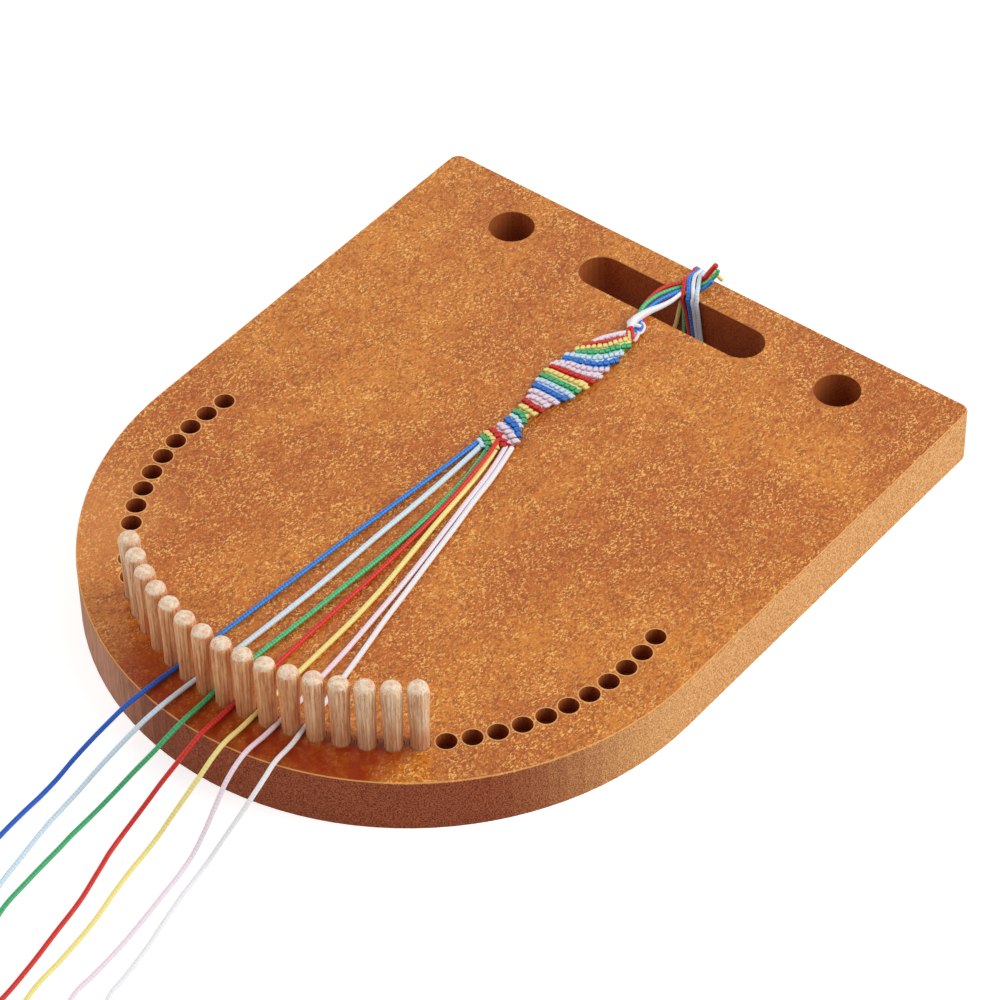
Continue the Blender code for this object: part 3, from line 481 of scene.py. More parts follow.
ROUTES_TO_COILS = {
    "blue": ((-19.5, -92, 20.05), (-20.1, -100.2, 20.15), (-21.3, -105.2, 18.8),
      (-23.4, -110.9, 15.1), (-26, -116.8, 10.2), (-28.2, -122.7, 5.4), (-29.1, -129, 2.1),
      (-29.2, -136, 0.9), (-28.8, -146), (-28.1, -154.1), (-27.1, -161, 1), (-26.5, -168, 1.4)),
    "light_blue": ((-11.8, -92.5, 20.05), (-12.2, -101.5, 20.2), (-13.1, -106, 18.9),
      (-14.6, -110.6, 16.2), (-16.8, -116.2, 11.8), (-18.9, -122, 7.3), (-20.5, -129, 2.9),
      (-20.9, -136, 0.95), (-19.7, -146), (-17.6, -157), (-15.6, -167.4), (-12.2, -177.5, 1),
      (-10, -183, 1.25), (-9.5, -188, 1.4)),
    "green": ((-3.5, -93, 20.05), (-3.3, -102.1, 20.2), (-3.8, -107, 18.7), (-5.2, -112.4, 15.4),
      (-7.6, -118.4, 10.8), (-9.9, -124.8, 6), (-11.6, -131, 2.4), (-12.2, -137.5, 0.9),
      (-11.4, -148.4), (-10.3, -161.8), (-8.6, -174.6), (-4.4, -185), (2, -194, 0.9),
      (6.6, -200.6, 1.2), (8.5, -207, 1.4)),
    "red": ((4, -93, 20.05), (4.1, -102.1, 20.2), (3.9, -106.7, 18.7), (3.2, -111.4, 15.9),
      (1.7, -117.3, 11.2), (0.5, -124, 6.2), (-0.1, -130.4, 2.6), (0.4, -137, 0.9), (3.2, -147),
      (6.4, -158), (8.9, -171), (11.6, -185), (13.4, -198), (13.8, -209, 0.85), (13.6, -219, 1.15),
      (13.5, -228, 1.4)),
    "yellow": ((11.6, -92.5, 20.05), (11.8, -101.5, 20.2), (11.9, -106, 18.9), (11.7, -111, 16),
      (11, -116.6, 12), (10.1, -122.6, 7.4), (9.5, -129, 3.1), (9.6, -136, 0.95), (11.6, -148),
      (14.6, -161), (16.8, -177), (18, -190), (20, -197.6, 0.9), (23.8, -205.6, 1.2),
      (27.8, -212.75, 1.4)),
    "pink": ((18.9, -91, 20.05), (19, -100.4, 20.2), (19.2, -104.4, 19), (19.4, -108.7, 16.6),
      (20, -114.4, 12), (20.9, -121, 6.8), (21.6, -127.5, 2.7), (22.4, -134.5, 0.95), (25, -151),
      (26.8, -164), (27.6, -175.3), (28, -184), (30.2, -190.2), (35.2, -193.6, 0.9),
      (41.2, -196.6, 1.1), (47.2, -200.9, 1.3), (52.25, -204.8, 1.4)),
    "white": ((27.2, -89, 20.05), (28.1, -98.3, 20.2), (28.6, -102.6, 18.8), (28.6, -107.7, 16),
      (28.1, -113.4, 11.9), (27.4, -119.6, 7.6), (26.9, -126.4, 3.2), (27.2, -134, 0.95),
      (29.8, -147), (33, -160), (35, -171), (36.4, -179.5), (39.9, -185), (46, -186.2),
      (53, -185, 0.9), (60, -184.2, 1.1), (68, -184, 1.3), (76, -184, 1.4)),
}
PEG_GAPS = {name: ring_centre(gap + 0.5) for gap, name in enumerate(STRING_TONES, start=-3)}
COIL_HEADINGS = {"blue": -90, "light_blue": -90, "green": -90, "red": -90, "yellow": -60,
    "pink": -35, "white": 0}
COILS_TURNING_LEFT = ("red", "yellow", "pink", "white")


def make_braid_group():
    """The crossing strands of a round braid, from a map that runs once round and along."""
    tree, given, out = new_group(
        "round braid", {"Map": "Vector", "Strands": "Float", "Lay": "Float"},
        {"Strand": "Float", "Height": "Float"})
    around, along, _ = axes_of(given["Map"])
    drift = noise(stretched(given["Map"], (2, 260, 1)), 1, 1)
    turned = around * given["Strands"] + drift * 0.14
    along = along / given["Lay"]
    one, other = (calc("SINE", path * tau) for path in (turned + along, turned - along))
    height = one * other * 0.5 + 0.5
    fill(out["Height"], height)
    thread = noise(stretched(given["Map"], (7, 700, 1)), 1, 2)
    fill(out["Strand"], calc("ADD", thread - 0.5, height * 0.92 + 0.14, clamp=True))
    return tree


braid_group = make_braid_group()


def make_string_finish(name):
    """Spun and braided cotton. Only the knots carry a depth, which paints shade into their hollows.
    """
    light, shaded, hollow_shade = STRING_TONES[name]
    made, shader, where = new_finish(
        f"braided {name.replace('_', ' ')}", Roughness=0.48, IOR=1.5, Specular_IOR_Level=0.35,
        Sheen_Weight=0.1, Sheen_Roughness=0.4)
    inputs = {"Map": where["UV"], "Strands": 2, "Lay": 2.2 * MM}
    braid = add(made.node_tree, "ShaderNodeGroup", inputs, node_tree=braid_group)
    colour = blend(braid["Strand"], shaded, light)
    back = axes_of(where["Object"])[1]
    loose = ramp(back, ARC_CENTRE_Y - 78 * MM, ARC_CENTRE_Y - 88 * MM)
    colour = blend(loose * LOOSE_SHADE[name], colour, shaded)
    depth = add(made.node_tree, "ShaderNodeAttribute", attribute_name="depth")["Fac"]
    set_shader(shader, Base_Color=blend(ramp(depth, 0.25, 0.9), colour, hollow_shade),
               Normal=bump(braid["Height"], 0.06 * MM))
    return made


string_finishes = {name: make_string_finish(name) for name in STRING_TONES}


CURVE_STEPS = 24  # from one given point to the next


def lengths_along(line):
    return np.concatenate(([0], np.cumsum(np.linalg.norm(np.diff(line, axis=0), axis=1))))


def smooth_curve(points):
    """Many closely set points on a smooth curve through the given ones."""
    given = np.array(points, dtype=float)
    knots = lengths_along(given)
    slopes = np.gradient(given, knots, axis=0, edge_order=1)
    fine = []
    for i, span in enumerate(np.diff(knots)):
        for t in np.linspace(0, 1, CURVE_STEPS, endpoint=False):
            start = (1 + 2 * t) * given[i] + t * span * slopes[i]
            end = (3 - 2 * t) * given[i + 1] + (t - 1) * span * slopes[i + 1]
            fine.append((1 - t) ** 2 * start + t * t * end)
    return np.array([*fine, given[-1]])


def spaced(line, step):
    """Points about a step apart along a line of closely set points, its ends included."""
    along = lengths_along(line)
    marks = np.linspace(0, along[-1], max(2, round(along[-1] / step) + 1))
    return np.stack([np.interp(marks, along, line[:, axis]) for axis in range(3)], axis=1)


def placed(points, lift=0, usual=0):
    """Millimetres from the centre of the half-round to metres in the model's frame. A point
    that is given without a height has the usual one."""
    return [(x * MM, y * MM + ARC_CENTRE_Y, (height[0] if height else usual) * MM + lift)
            for x, y, *height in points]


def make_tube(name, points, diameters, finish, sides=12):
    """A round string through the points, closed at both ends, with a map for the braid."""
    points = [Vector(point) for point in points]
    last = len(points) - 1
    forwards = [(points[min(i + 1, last)] - points[max(i - 1, 0)]).normalized()
                for i in range(last + 1)]
    side = forwards[0].cross(Vector((0, 0, 1)))
    side = (side if side.length > 0.2 else forwards[0].orthogonal()).normalized()
    # Rings at a point: how far past it, and how wide, as shares of the string's radius
    cuts = {0: ((-0.35, 0.55), (-0.15, 0.88), (0.1, 1)),
            last: ((-0.1, 1), (0.15, 0.88), (0.35, 0.55))}
    shape = bmesh.new()
    rings, marks = [], []
    along = 0
    for i, (point, forward, diameter) in enumerate(zip(points, forwards, diameters)):
        side = (side - forward * side.dot(forward)).normalized()
        other = forward.cross(side)
        radius = diameter / 2
        along += (point - points[max(i - 1, 0)]).length
        for shift, share in cuts.get(i, ((0, 1),)):
            centre = point + forward * (shift * radius)
            ring = []
            for turn in (tau * k / sides for k in range(sides)):
                out = side * cos(turn) + other * sin(turn)
                ring.append(shape.verts.new(centre + out * radius * share))
            rings.append(ring)
            marks.append(along + shift * radius)
    skin(shape, rings, marks)
    return from_shape(shape, name, finish)


def coil_place(name):
    x, y, _ = placed(ROUTES_TO_COILS[name][-1:])[0]
    heading = radians(COIL_HEADINGS[name])
    side = 1 if name in COILS_TURNING_LEFT else -1
    reach = COIL_RADIUS * side
    return x - reach * sin(heading), y + reach * cos(heading), heading, side


def coil_reach(turn):
    """The spiral runs in for half of the turns and out again for the rest."""
    return COIL_RADIUS - COIL_TURN_PITCH * min(turn, COIL_TURNS - turn)


def coil_height(turn):
    """The upper layer lies on the lower one; the string climbs where the spiral reverses."""
    climb = min(max((turn - COIL_TURNS / 2) * 2 + 0.5, 0), 1)
    return COIL_LOW + COIL_TURN_PITCH * climb * climb * (3 - 2 * climb)


def string_line(name):
    """The whole line of one string: band, pegs, rim, table and coil."""
    passing = (*PEG_GAPS[name], BOARD_TOP + LAY_GAP + STRING_DIAMETER / 2)
    before = placed(ROUTES_TO_PEGS[name], BOARD_TOP, ON_BOARD)
    after = placed(ROUTES_TO_COILS[name], usual=ON_TABLE)
    x, y, heading, side = coil_place(name)
    forward = np.array((cos(heading), sin(heading), 0))
    end = np.array(after[-1]) - forward * (STRING_DIAMETER + LAY_GAP)
    whole = smooth_curve(before + [passing] + after[:-1] + [end - forward * STRING_DIAMETER, end])
    whole[:, 2] = np.maximum(whole[:, 2], FLOOR_GAP + STRING_DIAMETER / 2)
    coil = []
    for turn in np.arange(COIL_TURNS * COIL_STEPS + 1) / COIL_STEPS:
        angle = heading - side * pi / 2 + side * tau * turn
        reach = coil_reach(turn)
        coil.append(np.array((x + reach * cos(angle), y + reach * sin(angle), coil_height(turn))))
    coil = [coil[0] - forward * STRING_DIAMETER, *coil, coil[-1] + forward * STRING_DIAMETER]
    return np.concatenate((whole, smooth_curve(coil)))


def make_string(name):
    points = spaced(string_line(name), 1.2 * MM)
    from_gap = points[:, :2] - PEG_GAPS[name]
    pressed = np.clip(1 - np.linalg.norm(from_gap, axis=1) / PINCH_REACH, 0, 1)
    taut = np.clip(from_gap[:, 1] / TAUT_REACH, 0, 1)
    shares = (1 + TAUT_CHANGE[name] * taut) * (1 - (1 - PINCHED) * pressed ** 0.5)
    string = make_tube(f"braided_string_{name}", points, STRING_DIAMETER * shares,
                       string_finishes[name])
    return string, points


# Paper bands
# A strip of kraft paper, 2.4 mm wide, is closed round one side of each coil. It stands for
# whatever holds the unseen length of the string.
PAPER_THICKNESS = 0.3 * MM
PAPER_WIDTH = 2.4 * MM
PAPER_CORNER = 0.8 * MM
CORNER_STEPS = 5


def make_paper_finish():
    made, shader, where = new_finish("kraft paper", Roughness=0.85)
    pulp = fibres(stretched(where["Object"], (1, 1, 0.3)), 1400, 0.35)
    colour = blend(pulp["Tone"], (0.56, 0.43, 0.29), (0.76, 0.66, 0.5))
    set_shader(shader, Base_Color=blend(pulp["Pores"] * 0.5, colour, (0.36, 0.24, 0.14)),
               Normal=bump(pulp["Tone"], 0.03 * MM))
    return made


paper_finish = make_paper_finish()


def make_paper_band(name):
    x, y, heading, side = coil_place(name)
    angle = heading - side * pi / 2 + side * tau * 0.75
    inner = coil_reach(1.75) - PAPER_WIDTH / 2 * tan(pi / COIL_STEPS)
    outer = coil_reach(0.25)
    room = STRING_DIAMETER / 2 + LAY_GAP - PAPER_CORNER  # past the string's middle to a corner's
    half = (outer - inner) / 2 + room
    low, high = COIL_LOW - room, coil_height(COIL_TURNS) + room
    across = Vector((cos(angle), sin(angle), 0))
    along = Vector((-sin(angle), cos(angle), 0)) * PAPER_WIDTH / 2
    shape = bmesh.new()
    rings = []
    for out, up, begin in ((half, high, 0), (-half, high, 90), (-half, low, 180), (half, low, 270)):
        for step in range(CORNER_STEPS + 1):
            turn = radians(begin + 90 / CORNER_STEPS * step)
            ring = []
            for thick, way in ((0, -1), (0, 1), (PAPER_THICKNESS, 1), (PAPER_THICKNESS, -1)):
                reach = PAPER_CORNER + thick
                aside = (inner + outer) / 2 + out + reach * cos(turn)
                point = Vector((x, y, up + reach * sin(turn))) + across * aside
                ring.append(shape.verts.new(point + along * way))
            rings.append(ring)
    for ring, following in zip(rings, rings[1:] + rings[:1]):
        for j, k in ((0, 1), (1, 2), (2, 3), (3, 0)):
            shape.faces.new((ring[j], ring[k], following[k], following[j]))
    bmesh.ops.recalc_face_normals(shape, faces=shape.faces)
    return from_shape(shape, f"paper_band_{name}", paper_finish)


for name in STRING_TONES:
    string, points = make_string(name)
    paper = make_paper_band(name)
    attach(string, "base")
    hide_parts(f"string_{name}", f"coil_{name}")
    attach(paper, "base")
    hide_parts(f"coil_band_{name}")


# Knotted band
# Rows of double half hitches, one colour to a row, drawn tight. Every knot is two turns of one
# string round the string that runs along its row. The whole band narrows to a neck in its middle.
KNOT_LENGTH = 1.75 * MM  # along its row
KNOT_STEPS, KNOT_SIDES = 6, 7
KNOT_STEP = 0.5 * MM
KNOT_SLANT, KNOT_REACH, KNOT_RISE, KNOT_HALF = 0.24, 0.72, 0.58, 0.58  # millimetres
CORE_RADIUS = 0.62 * MM
UNEVENNESS = 0.07
BAND_CROWN = 0.5 * MM

# Colour, knot size against the usual, height of the row above the board, and its line
KNOT_ROWS = (
    ("blue", 0.62, 1.3, ((-4.8, 105.1), (-2.7, 109))),
    ("pink", 1.1, 1.42, ((-8, 98.6), (-5.3, 103.3), (-1.9, 107.4))),
    ("red", 0.74, 1.72, ((-9.6, 95.3), (-7.3, 97.7), (-3.9, 101.7), (-1.3, 106.3))),
    ("yellow", 1, 1.45, ((-10.3, 92.6), (-7.4, 95.4), (-4.2, 98.5), (-2.1, 102.5), (-0.1, 106.5))),
    ("green", 1, 1.45, ((-9.2, 91.8), (-6, 93.5), (-2.9, 96.2), (-0.8, 100.1), (1.7, 103.5))),
    ("light_blue", 1, 1.45, ((-11.2, 88.6), (-7.7, 89.8), (-4.2, 91.3), (-1.3, 94), (0.5, 97.1),
      (2.1, 99.3))),
    ("blue", 1, 1.45, ((-10.8, 87.3), (-6.7, 87.9), (-2.7, 89.4), (0.5, 91.8), (2.8, 95.9))),
    ("pink", 1, 1.45, ((-11.6, 83.7), (-8, 85.4), (-3.5, 86.2), (0.2, 88), (2.9, 90.7))),
    ("pink", 0.95, 1.45, ((-12.1, 82.3), (-8.1, 83.7), (-3.2, 84), (0.6, 85.1), (3.4, 86.8))),
    ("red", 0.95, 1.5, ((-11.6, 81.7), (-6.6, 81.8), (-2.1, 82.5), (2.9, 83.5))),
    ("yellow", 1, 1.45, ((-11.9, 79.1), (-7, 79.3), (-2.7, 79.7), (2.9, 80.2))),
    ("green", 1, 1.45, ((-11.6, 76.6), (-6.6, 76.4), (-2.3, 76.9), (1.9, 77.3))),
    ("light_blue", 1, 1.45, ((-11.2, 74), (-6.4, 74.3), (-2.1, 74.2), (1.8, 74.2))),
    ("blue", 1, 1.45, ((-10.4, 71.5), (-5.6, 71.5), (-1.9, 71.6), (0.9, 72.1))),
    ("pink", 1, 1.5, ((-9.8, 68.7), (-6.4, 69), (-2.4, 68.7), (0, 69.1))),
    ("pink", 1, 1.55, ((-8.6, 66), (-5.6, 66.3), (-1.7, 65.9))),
    ("red", 1, 1.75, ((-8.5, 64.1), (-5.6, 63.3), (-1.4, 63.5))),
    ("yellow", 1, 1.8, ((-7.8, 61.2), (-5.1, 60.6), (-2.2, 60.8))),
    ("green", 1, 1.8, ((-7.8, 58.2), (-5.1, 57.9), (-2.7, 56.1))),
    ("light_blue", 0.95, 1.8, ((-7.5, 56.1), (-4.9, 55.4), (-2.2, 53.8))),
    ("blue", 1, 1.75, ((-7.7, 54), (-5.3, 53.1), (-2.8, 52.4), (-0.1, 50.4))),
    ("pink", 1.25, 1.65, ((-7.6, 50.7), (-3.9, 49.2), (0.7, 47.7))),
    ("red", 1.05, 1.65, ((-8.5, 47.6), (-5.3, 46.1), (-1.5, 44.1))),
    ("yellow", 1.05, 1.6, ((-8.8, 45.5), (-6.3, 44.5), (-2.5, 42))),
    ("green", 1.05, 1.55, ((-8.8, 43.5), (-5.9, 42.1), (-3.9, 39.9))),
    ("light_blue", 1, 1.5, ((-8.5, 41.7), (-6.2, 40.2))),
)


def make_knot():
    """One knot: two slanted turns of string, whose depth grows from the crown down and paints shade
    into the hollows.
    """
    shape = bmesh.new()
    layer = shape.loops.layers.uv.new("UVMap")
    hollow_shade = shape.verts.layers.float.new("depth")
    for offset in (-KNOT_SLANT, KNOT_SLANT):
        rings = []
        for i, share in enumerate((0.42, 0.74, 0.95, 1, 0.95, 0.74, 0.42)):
            swing = radians(-100 + 200 * i / KNOT_STEPS)
            slant = KNOT_SLANT * sin(swing)
            out = Vector((0, sin(swing), cos(swing)))
            centre = Vector((offset + slant, KNOT_REACH * sin(swing),
                             KNOT_RISE * cos(swing) - 0.05))
            width = KNOT_HALF * share
            ring = []
            for k in range(KNOT_SIDES):
                turn = tau * k / KNOT_SIDES
                spot = centre + Vector((1, 0, 0)) * cos(turn) * width + out * sin(turn) * width
                vert = shape.verts.new(spot * MM)
                fall = abs(sin(swing)) ** 2.4
                aside = max(0, abs(spot.x - slant) / 0.82)
                vert[hollow_shade] = min(1, max(fall, aside ** 3) if spot.z > -0.5 else 1)
                ring.append(vert)
            rings.append(ring)
        shape.faces.new(rings[0])
        shape.faces.new(list(reversed(rings[-1])))
        for i in range(KNOT_STEPS):
            for k in range(KNOT_SIDES):
                spots = ((i, k + 1), (i, k), (i + 1, k), (i + 1, k + 1))
                made = shape.faces.new([rings[step][side % KNOT_SIDES] for step, side in spots])
                for loop, (step, side) in zip(made.loops, spots):
                    loop[layer].uv = (side / KNOT_SIDES, step * KNOT_STEP)
    bmesh.ops.recalc_face_normals(shape, faces=shape.faces)
    for face in shape.faces:
        face.smooth = True
    return from_shape(shape, "knot")


def make_row_tree():
    """Knots set along each row's line, with the row's own running string inside them."""
    tree, given, out = new_group(
        "rows of knots",
        {"Rows": "Geometry", "Knot": "Object", "Knot length": "Float", "Core radius": "Float",
         "Unevenness": "Float", "Finish": "Material"}, {"Band": "Geometry"}, "Geometry")

    def step(kind, inputs=None, family="Geometry", **settings):
        return add(tree, f"{family}Node{kind}", inputs, **settings)

    curves = step("MeshToCurve", {"Mesh": given["Rows"]})
    size = step("InputNamedAttribute", {"Name": "size"}, data_type="FLOAT")
    spacing = given["Knot length"] * size
    marks = step("ResampleCurve", {"Curve": curves, "Length": spacing}, mode="LENGTH")
    turned = step("AlignRotationToVector", {"Vector": step("InputTangent")}, "Function", axis="X",
                  pivot_axis="Z")
    spread = {2: 1 - given["Unevenness"], 3: given["Unevenness"] + 1}
    wobble = step("RandomValue", {"Seed": 7, **spread}, "Function", data_type="FLOAT")[1]
    knot = step("ObjectInfo", {"Object": given["Knot"]}, transform_space="ORIGINAL")["Geometry"]
    knots = step("InstanceOnPoints", {"Points": marks, "Instance": knot, "Rotation": turned,
                                      "Scale": size * wobble})
    ring = step("CurvePrimitiveCircle", {"Resolution": 8}, mode="RADIUS")
    fill(ring.socket.node.inputs["Radius"], given["Core radius"])
    core = step("CurveToMesh", {"Curve": curves, "Profile Curve": ring, "Fill Caps": True})
    joined = step("JoinGeometry", {0: knots})
    fill(joined.socket.node.inputs[0], core)
    solid = step("RealizeInstances", {"Geometry": joined})
    fill(out["Band"], step("SetMaterial", {"Geometry": solid, "Material": given["Finish"]}))
    return tree


def run_tree(tree, carrier, name, values):
    """The plain mesh that a geometry tree makes of a carrier, as an object of its own."""
    step = carrier.modifiers.new("tree", "NODES")
    step.node_group = tree
    for item in tree.interface.items_tree:
        if item.in_out == "INPUT" and item.name in values:
            step[item.identifier] = values[item.name]
    graph = bpy.context.evaluated_depsgraph_get()
    data = bpy.data.meshes.new_from_object(carrier.evaluated_get(graph))
    data.name = name
    bpy.data.objects.remove(carrier)
    return in_scene(name, data)


def row_path(line, step):
    return spaced(smooth_curve(placed(line)), step)


def row_lines(name):
    """The lines of one colour's rows as a mesh of edges, crowned across the band."""
    shape = bmesh.new()
    sizes = []
    for size, height, line in (row[1:] for row in KNOT_ROWS if row[0] == name):
        path = row_path(line, 1 * MM)
        shares = lengths_along(path) / lengths_along(path)[-1]
        crown = BAND_CROWN * (1 - (2 * shares - 1) ** 4)
        heights = BOARD_TOP + height * MM - BAND_CROWN / 2 + crown
        verts = [shape.verts.new((x, y, z)) for (x, y, _), z in zip(path, heights)]
        sizes += [size] * len(verts)
        for pair in zip(verts, verts[1:]):
            shape.edges.new(pair)
    made = from_shape(shape, f"rows_{name}")
    made.data.attributes.new("size", "FLOAT", "POINT").data.foreach_set("value", sizes)
    return made


knot = make_knot()
row_tree = make_row_tree()
for name in STRING_TONES:
    if name == "white":  # it has no row of its own
        continue
    piece = run_tree(row_tree, row_lines(name), f"knots_{name}",
                     {"Knot": knot, "Knot length": KNOT_LENGTH, "Core radius": CORE_RADIUS,
                      "Unevenness": UNEVENNESS, "Finish": string_finishes[name]})
    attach(piece, "base")
bpy.data.objects.remove(knot)


# The body of the band under the knots: the running strings of all its rows, pressed together.
# Each part of it shows the colour of the row above it. Its left and right edges:
BAND_SECTIONS = (
    (-4.7, 112.8, 0.3, 112.8), (-4.5, 110.6, 1.1, 110.4), (-4.7, 107.6, 1.4, 107),
    (-6, 104.6, 1.8, 103.6), (-7.9, 100.4, 2.3, 99.6), (-10.2, 95.8, 2.9, 95.2),
    (-11.7, 91, 3.1, 90.6), (-12.6, 85.6, 3.1, 86), (-12.8, 80.4, 2.7, 80.8),
    (-12.3, 75.4, 1.8, 75.6), (-11.1, 70.3, 0.2, 70.4), (-9.6, 65.6, -1.3, 65.6),
    (-8.9, 61.6, -2.2, 61.6), (-8.5, 57.6, -2.8, 57.8), (-8.5, 54, -1.7, 54.8),
    (-9, 50.2, -0.1, 51.7), (-9.7, 46.6, 1.2, 48.9), (-9.3, 43.2, 1.4, 46.6),
)
BODY_SIDES = 16
BODY_INSET = 0.7 * MM
BODY_MIDDLE, BODY_HALF = 0.98 * MM, 0.93 * MM  # height above the board, and half its thickness


def make_band_body():
    left, right = (smooth_curve(placed([section[side:side + 2] for section in BAND_SECTIONS]))[::6]
                   for side in (0, 2))
    rows = [(row[0], row_path(row[3], 0.5 * MM)[:, :2]) for row in KNOT_ROWS]
    names = list(STRING_TONES)
    shape = bmesh.new()
    rings = []
    for one, other in zip(left, right):
        across = (other - one) / np.linalg.norm(other - one)
        one, other = one + across * BODY_INSET, other - across * BODY_INSET
        ring = []
        for i in range(BODY_SIDES):
            turn = tau * i / BODY_SIDES
            reach = copysign(abs(cos(turn)) ** 0.6, cos(turn))
            up = copysign(abs(sin(turn)) ** 0.8, sin(turn))
            x, y, _ = (one + other) / 2 + (other - one) / 2 * reach
            ring.append(shape.verts.new((x, y, BOARD_TOP + BODY_MIDDLE + up * BODY_HALF)))
        rings.append(ring)
    skin(shape, rings)
    bmesh.ops.recalc_face_normals(shape, faces=shape.faces)
    for face in shape.faces:
        middle = np.array(face.calc_center_median())[:2]
        nearest = min(rows, key=lambda row: np.linalg.norm(row[1] - middle, axis=1).min())
        face.material_index = names.index(nearest[0])
    return from_shape(shape, "band_body", *string_finishes.values())


band_body = make_band_body()
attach(band_body, "base")
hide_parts("knotted_band")

# The overhand knot above the first row, which gathers all seven strings: colour, diameter, line
KNOT_LOOPS = (
    ("white", 1.35, ((-3.2, 114.2, 2.6), (-4.3, 113, 2.4), (-4.6, 111.7, 2.3), (-3.7, 110.9, 2.4),
      (-2.3, 111.1, 2.8), (-1.3, 111.7, 2.7), (-0.5, 112.4, 2.1))),
    ("white", 0.95, ((-1.7, 114.5, 1.7), (-0.6, 114.2, 1.8), (0.35, 113.3, 1.8), (0.95, 112, 1.7),
      (1, 110.7, 1.5), (0.4, 110, 1.4))),
    ("blue", 0.85, ((-1.4, 113.5, 1.9), (-0.5, 113, 2.2), (0.05, 112, 2.2), (0.2, 110.8, 1.8))),
    ("pink", 1.15, ((0.1, 110.2, 1.7), (0.9, 109.3, 1.9), (1.35, 108, 1.8), (1.4, 106.6, 1.4))),
    ("pink", 1.45, ((-8.2, 98.5, 1.7), (-6.9, 101, 2.1), (-4.7, 104.2, 2.3), (-2.7, 107, 2.3),
      (-2, 108, 2))),
    ("red", 1.15, ((-2.1, 107, 2.2), (-2.35, 108.6, 2.8), (-2.2, 109.7, 3.1), (-1.45, 109.2, 3.2),
      (-0.7, 108.3, 3), (0.2, 107.4, 2.6), (0.9, 106.6, 2))),
    ("yellow", 1.3, ((-2.4, 107.6, 2), (-1.6, 107.9, 2.4), (-0.8, 107.2, 2.3),
      (-0.3, 106.2, 1.8))),
)
for number, (name, diameter, points) in enumerate(KNOT_LOOPS, start=1):
    line = spaced(smooth_curve(placed(points, BOARD_TOP)), 0.5 * MM)
    loop = make_tube(f"top_knot_{number}_{name}", line, [diameter * MM] * len(line),
                     string_finishes[name], sides=10)
    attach(loop, "base")


# Tie
# Four strings cross the slot from the band to the bar, four turns are wound round the bar over
# them, two more strands come up the slot's wall, and short ends stand up behind the turns.
LEAD_HEIGHT = 0.95  # millimetres above the board, which many points of the leads share
LEADS = {
    "red": ((-0.6, 113.6, 1), (-2.2, 116.5), (-4.8, 119.8), (-6.5, 122.8, 1), (-7, 126, 1),
      (-7.1, 129, 1), (-6.85, 131.7, 1), (-5.8, 134.4), (-4.4, 136.3), (-3.3, 137.6),
      (-2.2, 139.3), (-0.9, 141.1), (0.4, 142.4, 1), (1.4, 143.1, 1.5), (3.15, 143.8, 4.9),
      (5, 144.6, 8.2)),
    "green": ((-2.7, 113.5, 1.2), (-3.9, 116.2, 1.3), (-5.4, 119.3, 1.7), (-5.9, 122.6, 1.75),
      (-5.75, 125.9, 1.7), (-5.15, 129.3, 1.6), (-4.3, 132.2, 1.3), (-3.4, 134.6, 1),
      (-2.5, 136.1), (-1.2, 137.8), (0.3, 139.3), (1.5, 140.1, 1), (2.7, 140.7, 1.5),
      (4.2, 141.8, 2.9), (5.5, 142.7, 4.75), (6.5, 143.2, 6.8), (6.6, 143.5, 7.7)),
    "blue": ((-1.6, 113.4, 1.2), (-2.8, 116, 1.3), (-4, 118.9, 1.4), (-4.15, 122.4, 1.4),
      (-3.85, 126.2, 1.4), (-3.1, 129.3, 1.35), (-2.4, 132, 1.2), (-1.65, 134.5), (-0.5, 136),
      (0.8, 137.4), (2.2, 138.6), (3.2, 139.3, 1), (4.3, 140.3, 1.8), (5.5, 141, 3.4),
      (6.1, 141.2, 4.5)),
    "white": ((-2.5, 109.6, 2.7), (-3.1, 111.4, 2.9), (-3.45, 113.4, 2.8), (-3.4, 115.4, 2.6),
      (-3.15, 118, 2.3), (-2.65, 120.9, 1.9), (-1.9, 123.5, 1.6), (-1.15, 126.4, 1.4),
      (-0.7, 129.4, 1.2), (-0.65, 132, 1.05), (-0.5, 134.2), (0.4, 135.3), (1.5, 136.4),
      (2.6, 137.4)),
}
# Diameters along a lead: white is spread where it leaves the knot, and cut ends fray a little
LEAD_WIDTHS = {
    "red": (1.35, 1.35, 1.35, 1.35, 1.35, 1.35, 1.75, 1.9),
    "green": (1.5, 1.5, 1.4, 1.35, 1.35, 1.35, 1.5, 1.5),
    "blue": (1.35,),
    "white": (2.3, 2.6, 2.5, 2.2, 1.9, 1.6, 1.35, 1.3, 1.3),
}

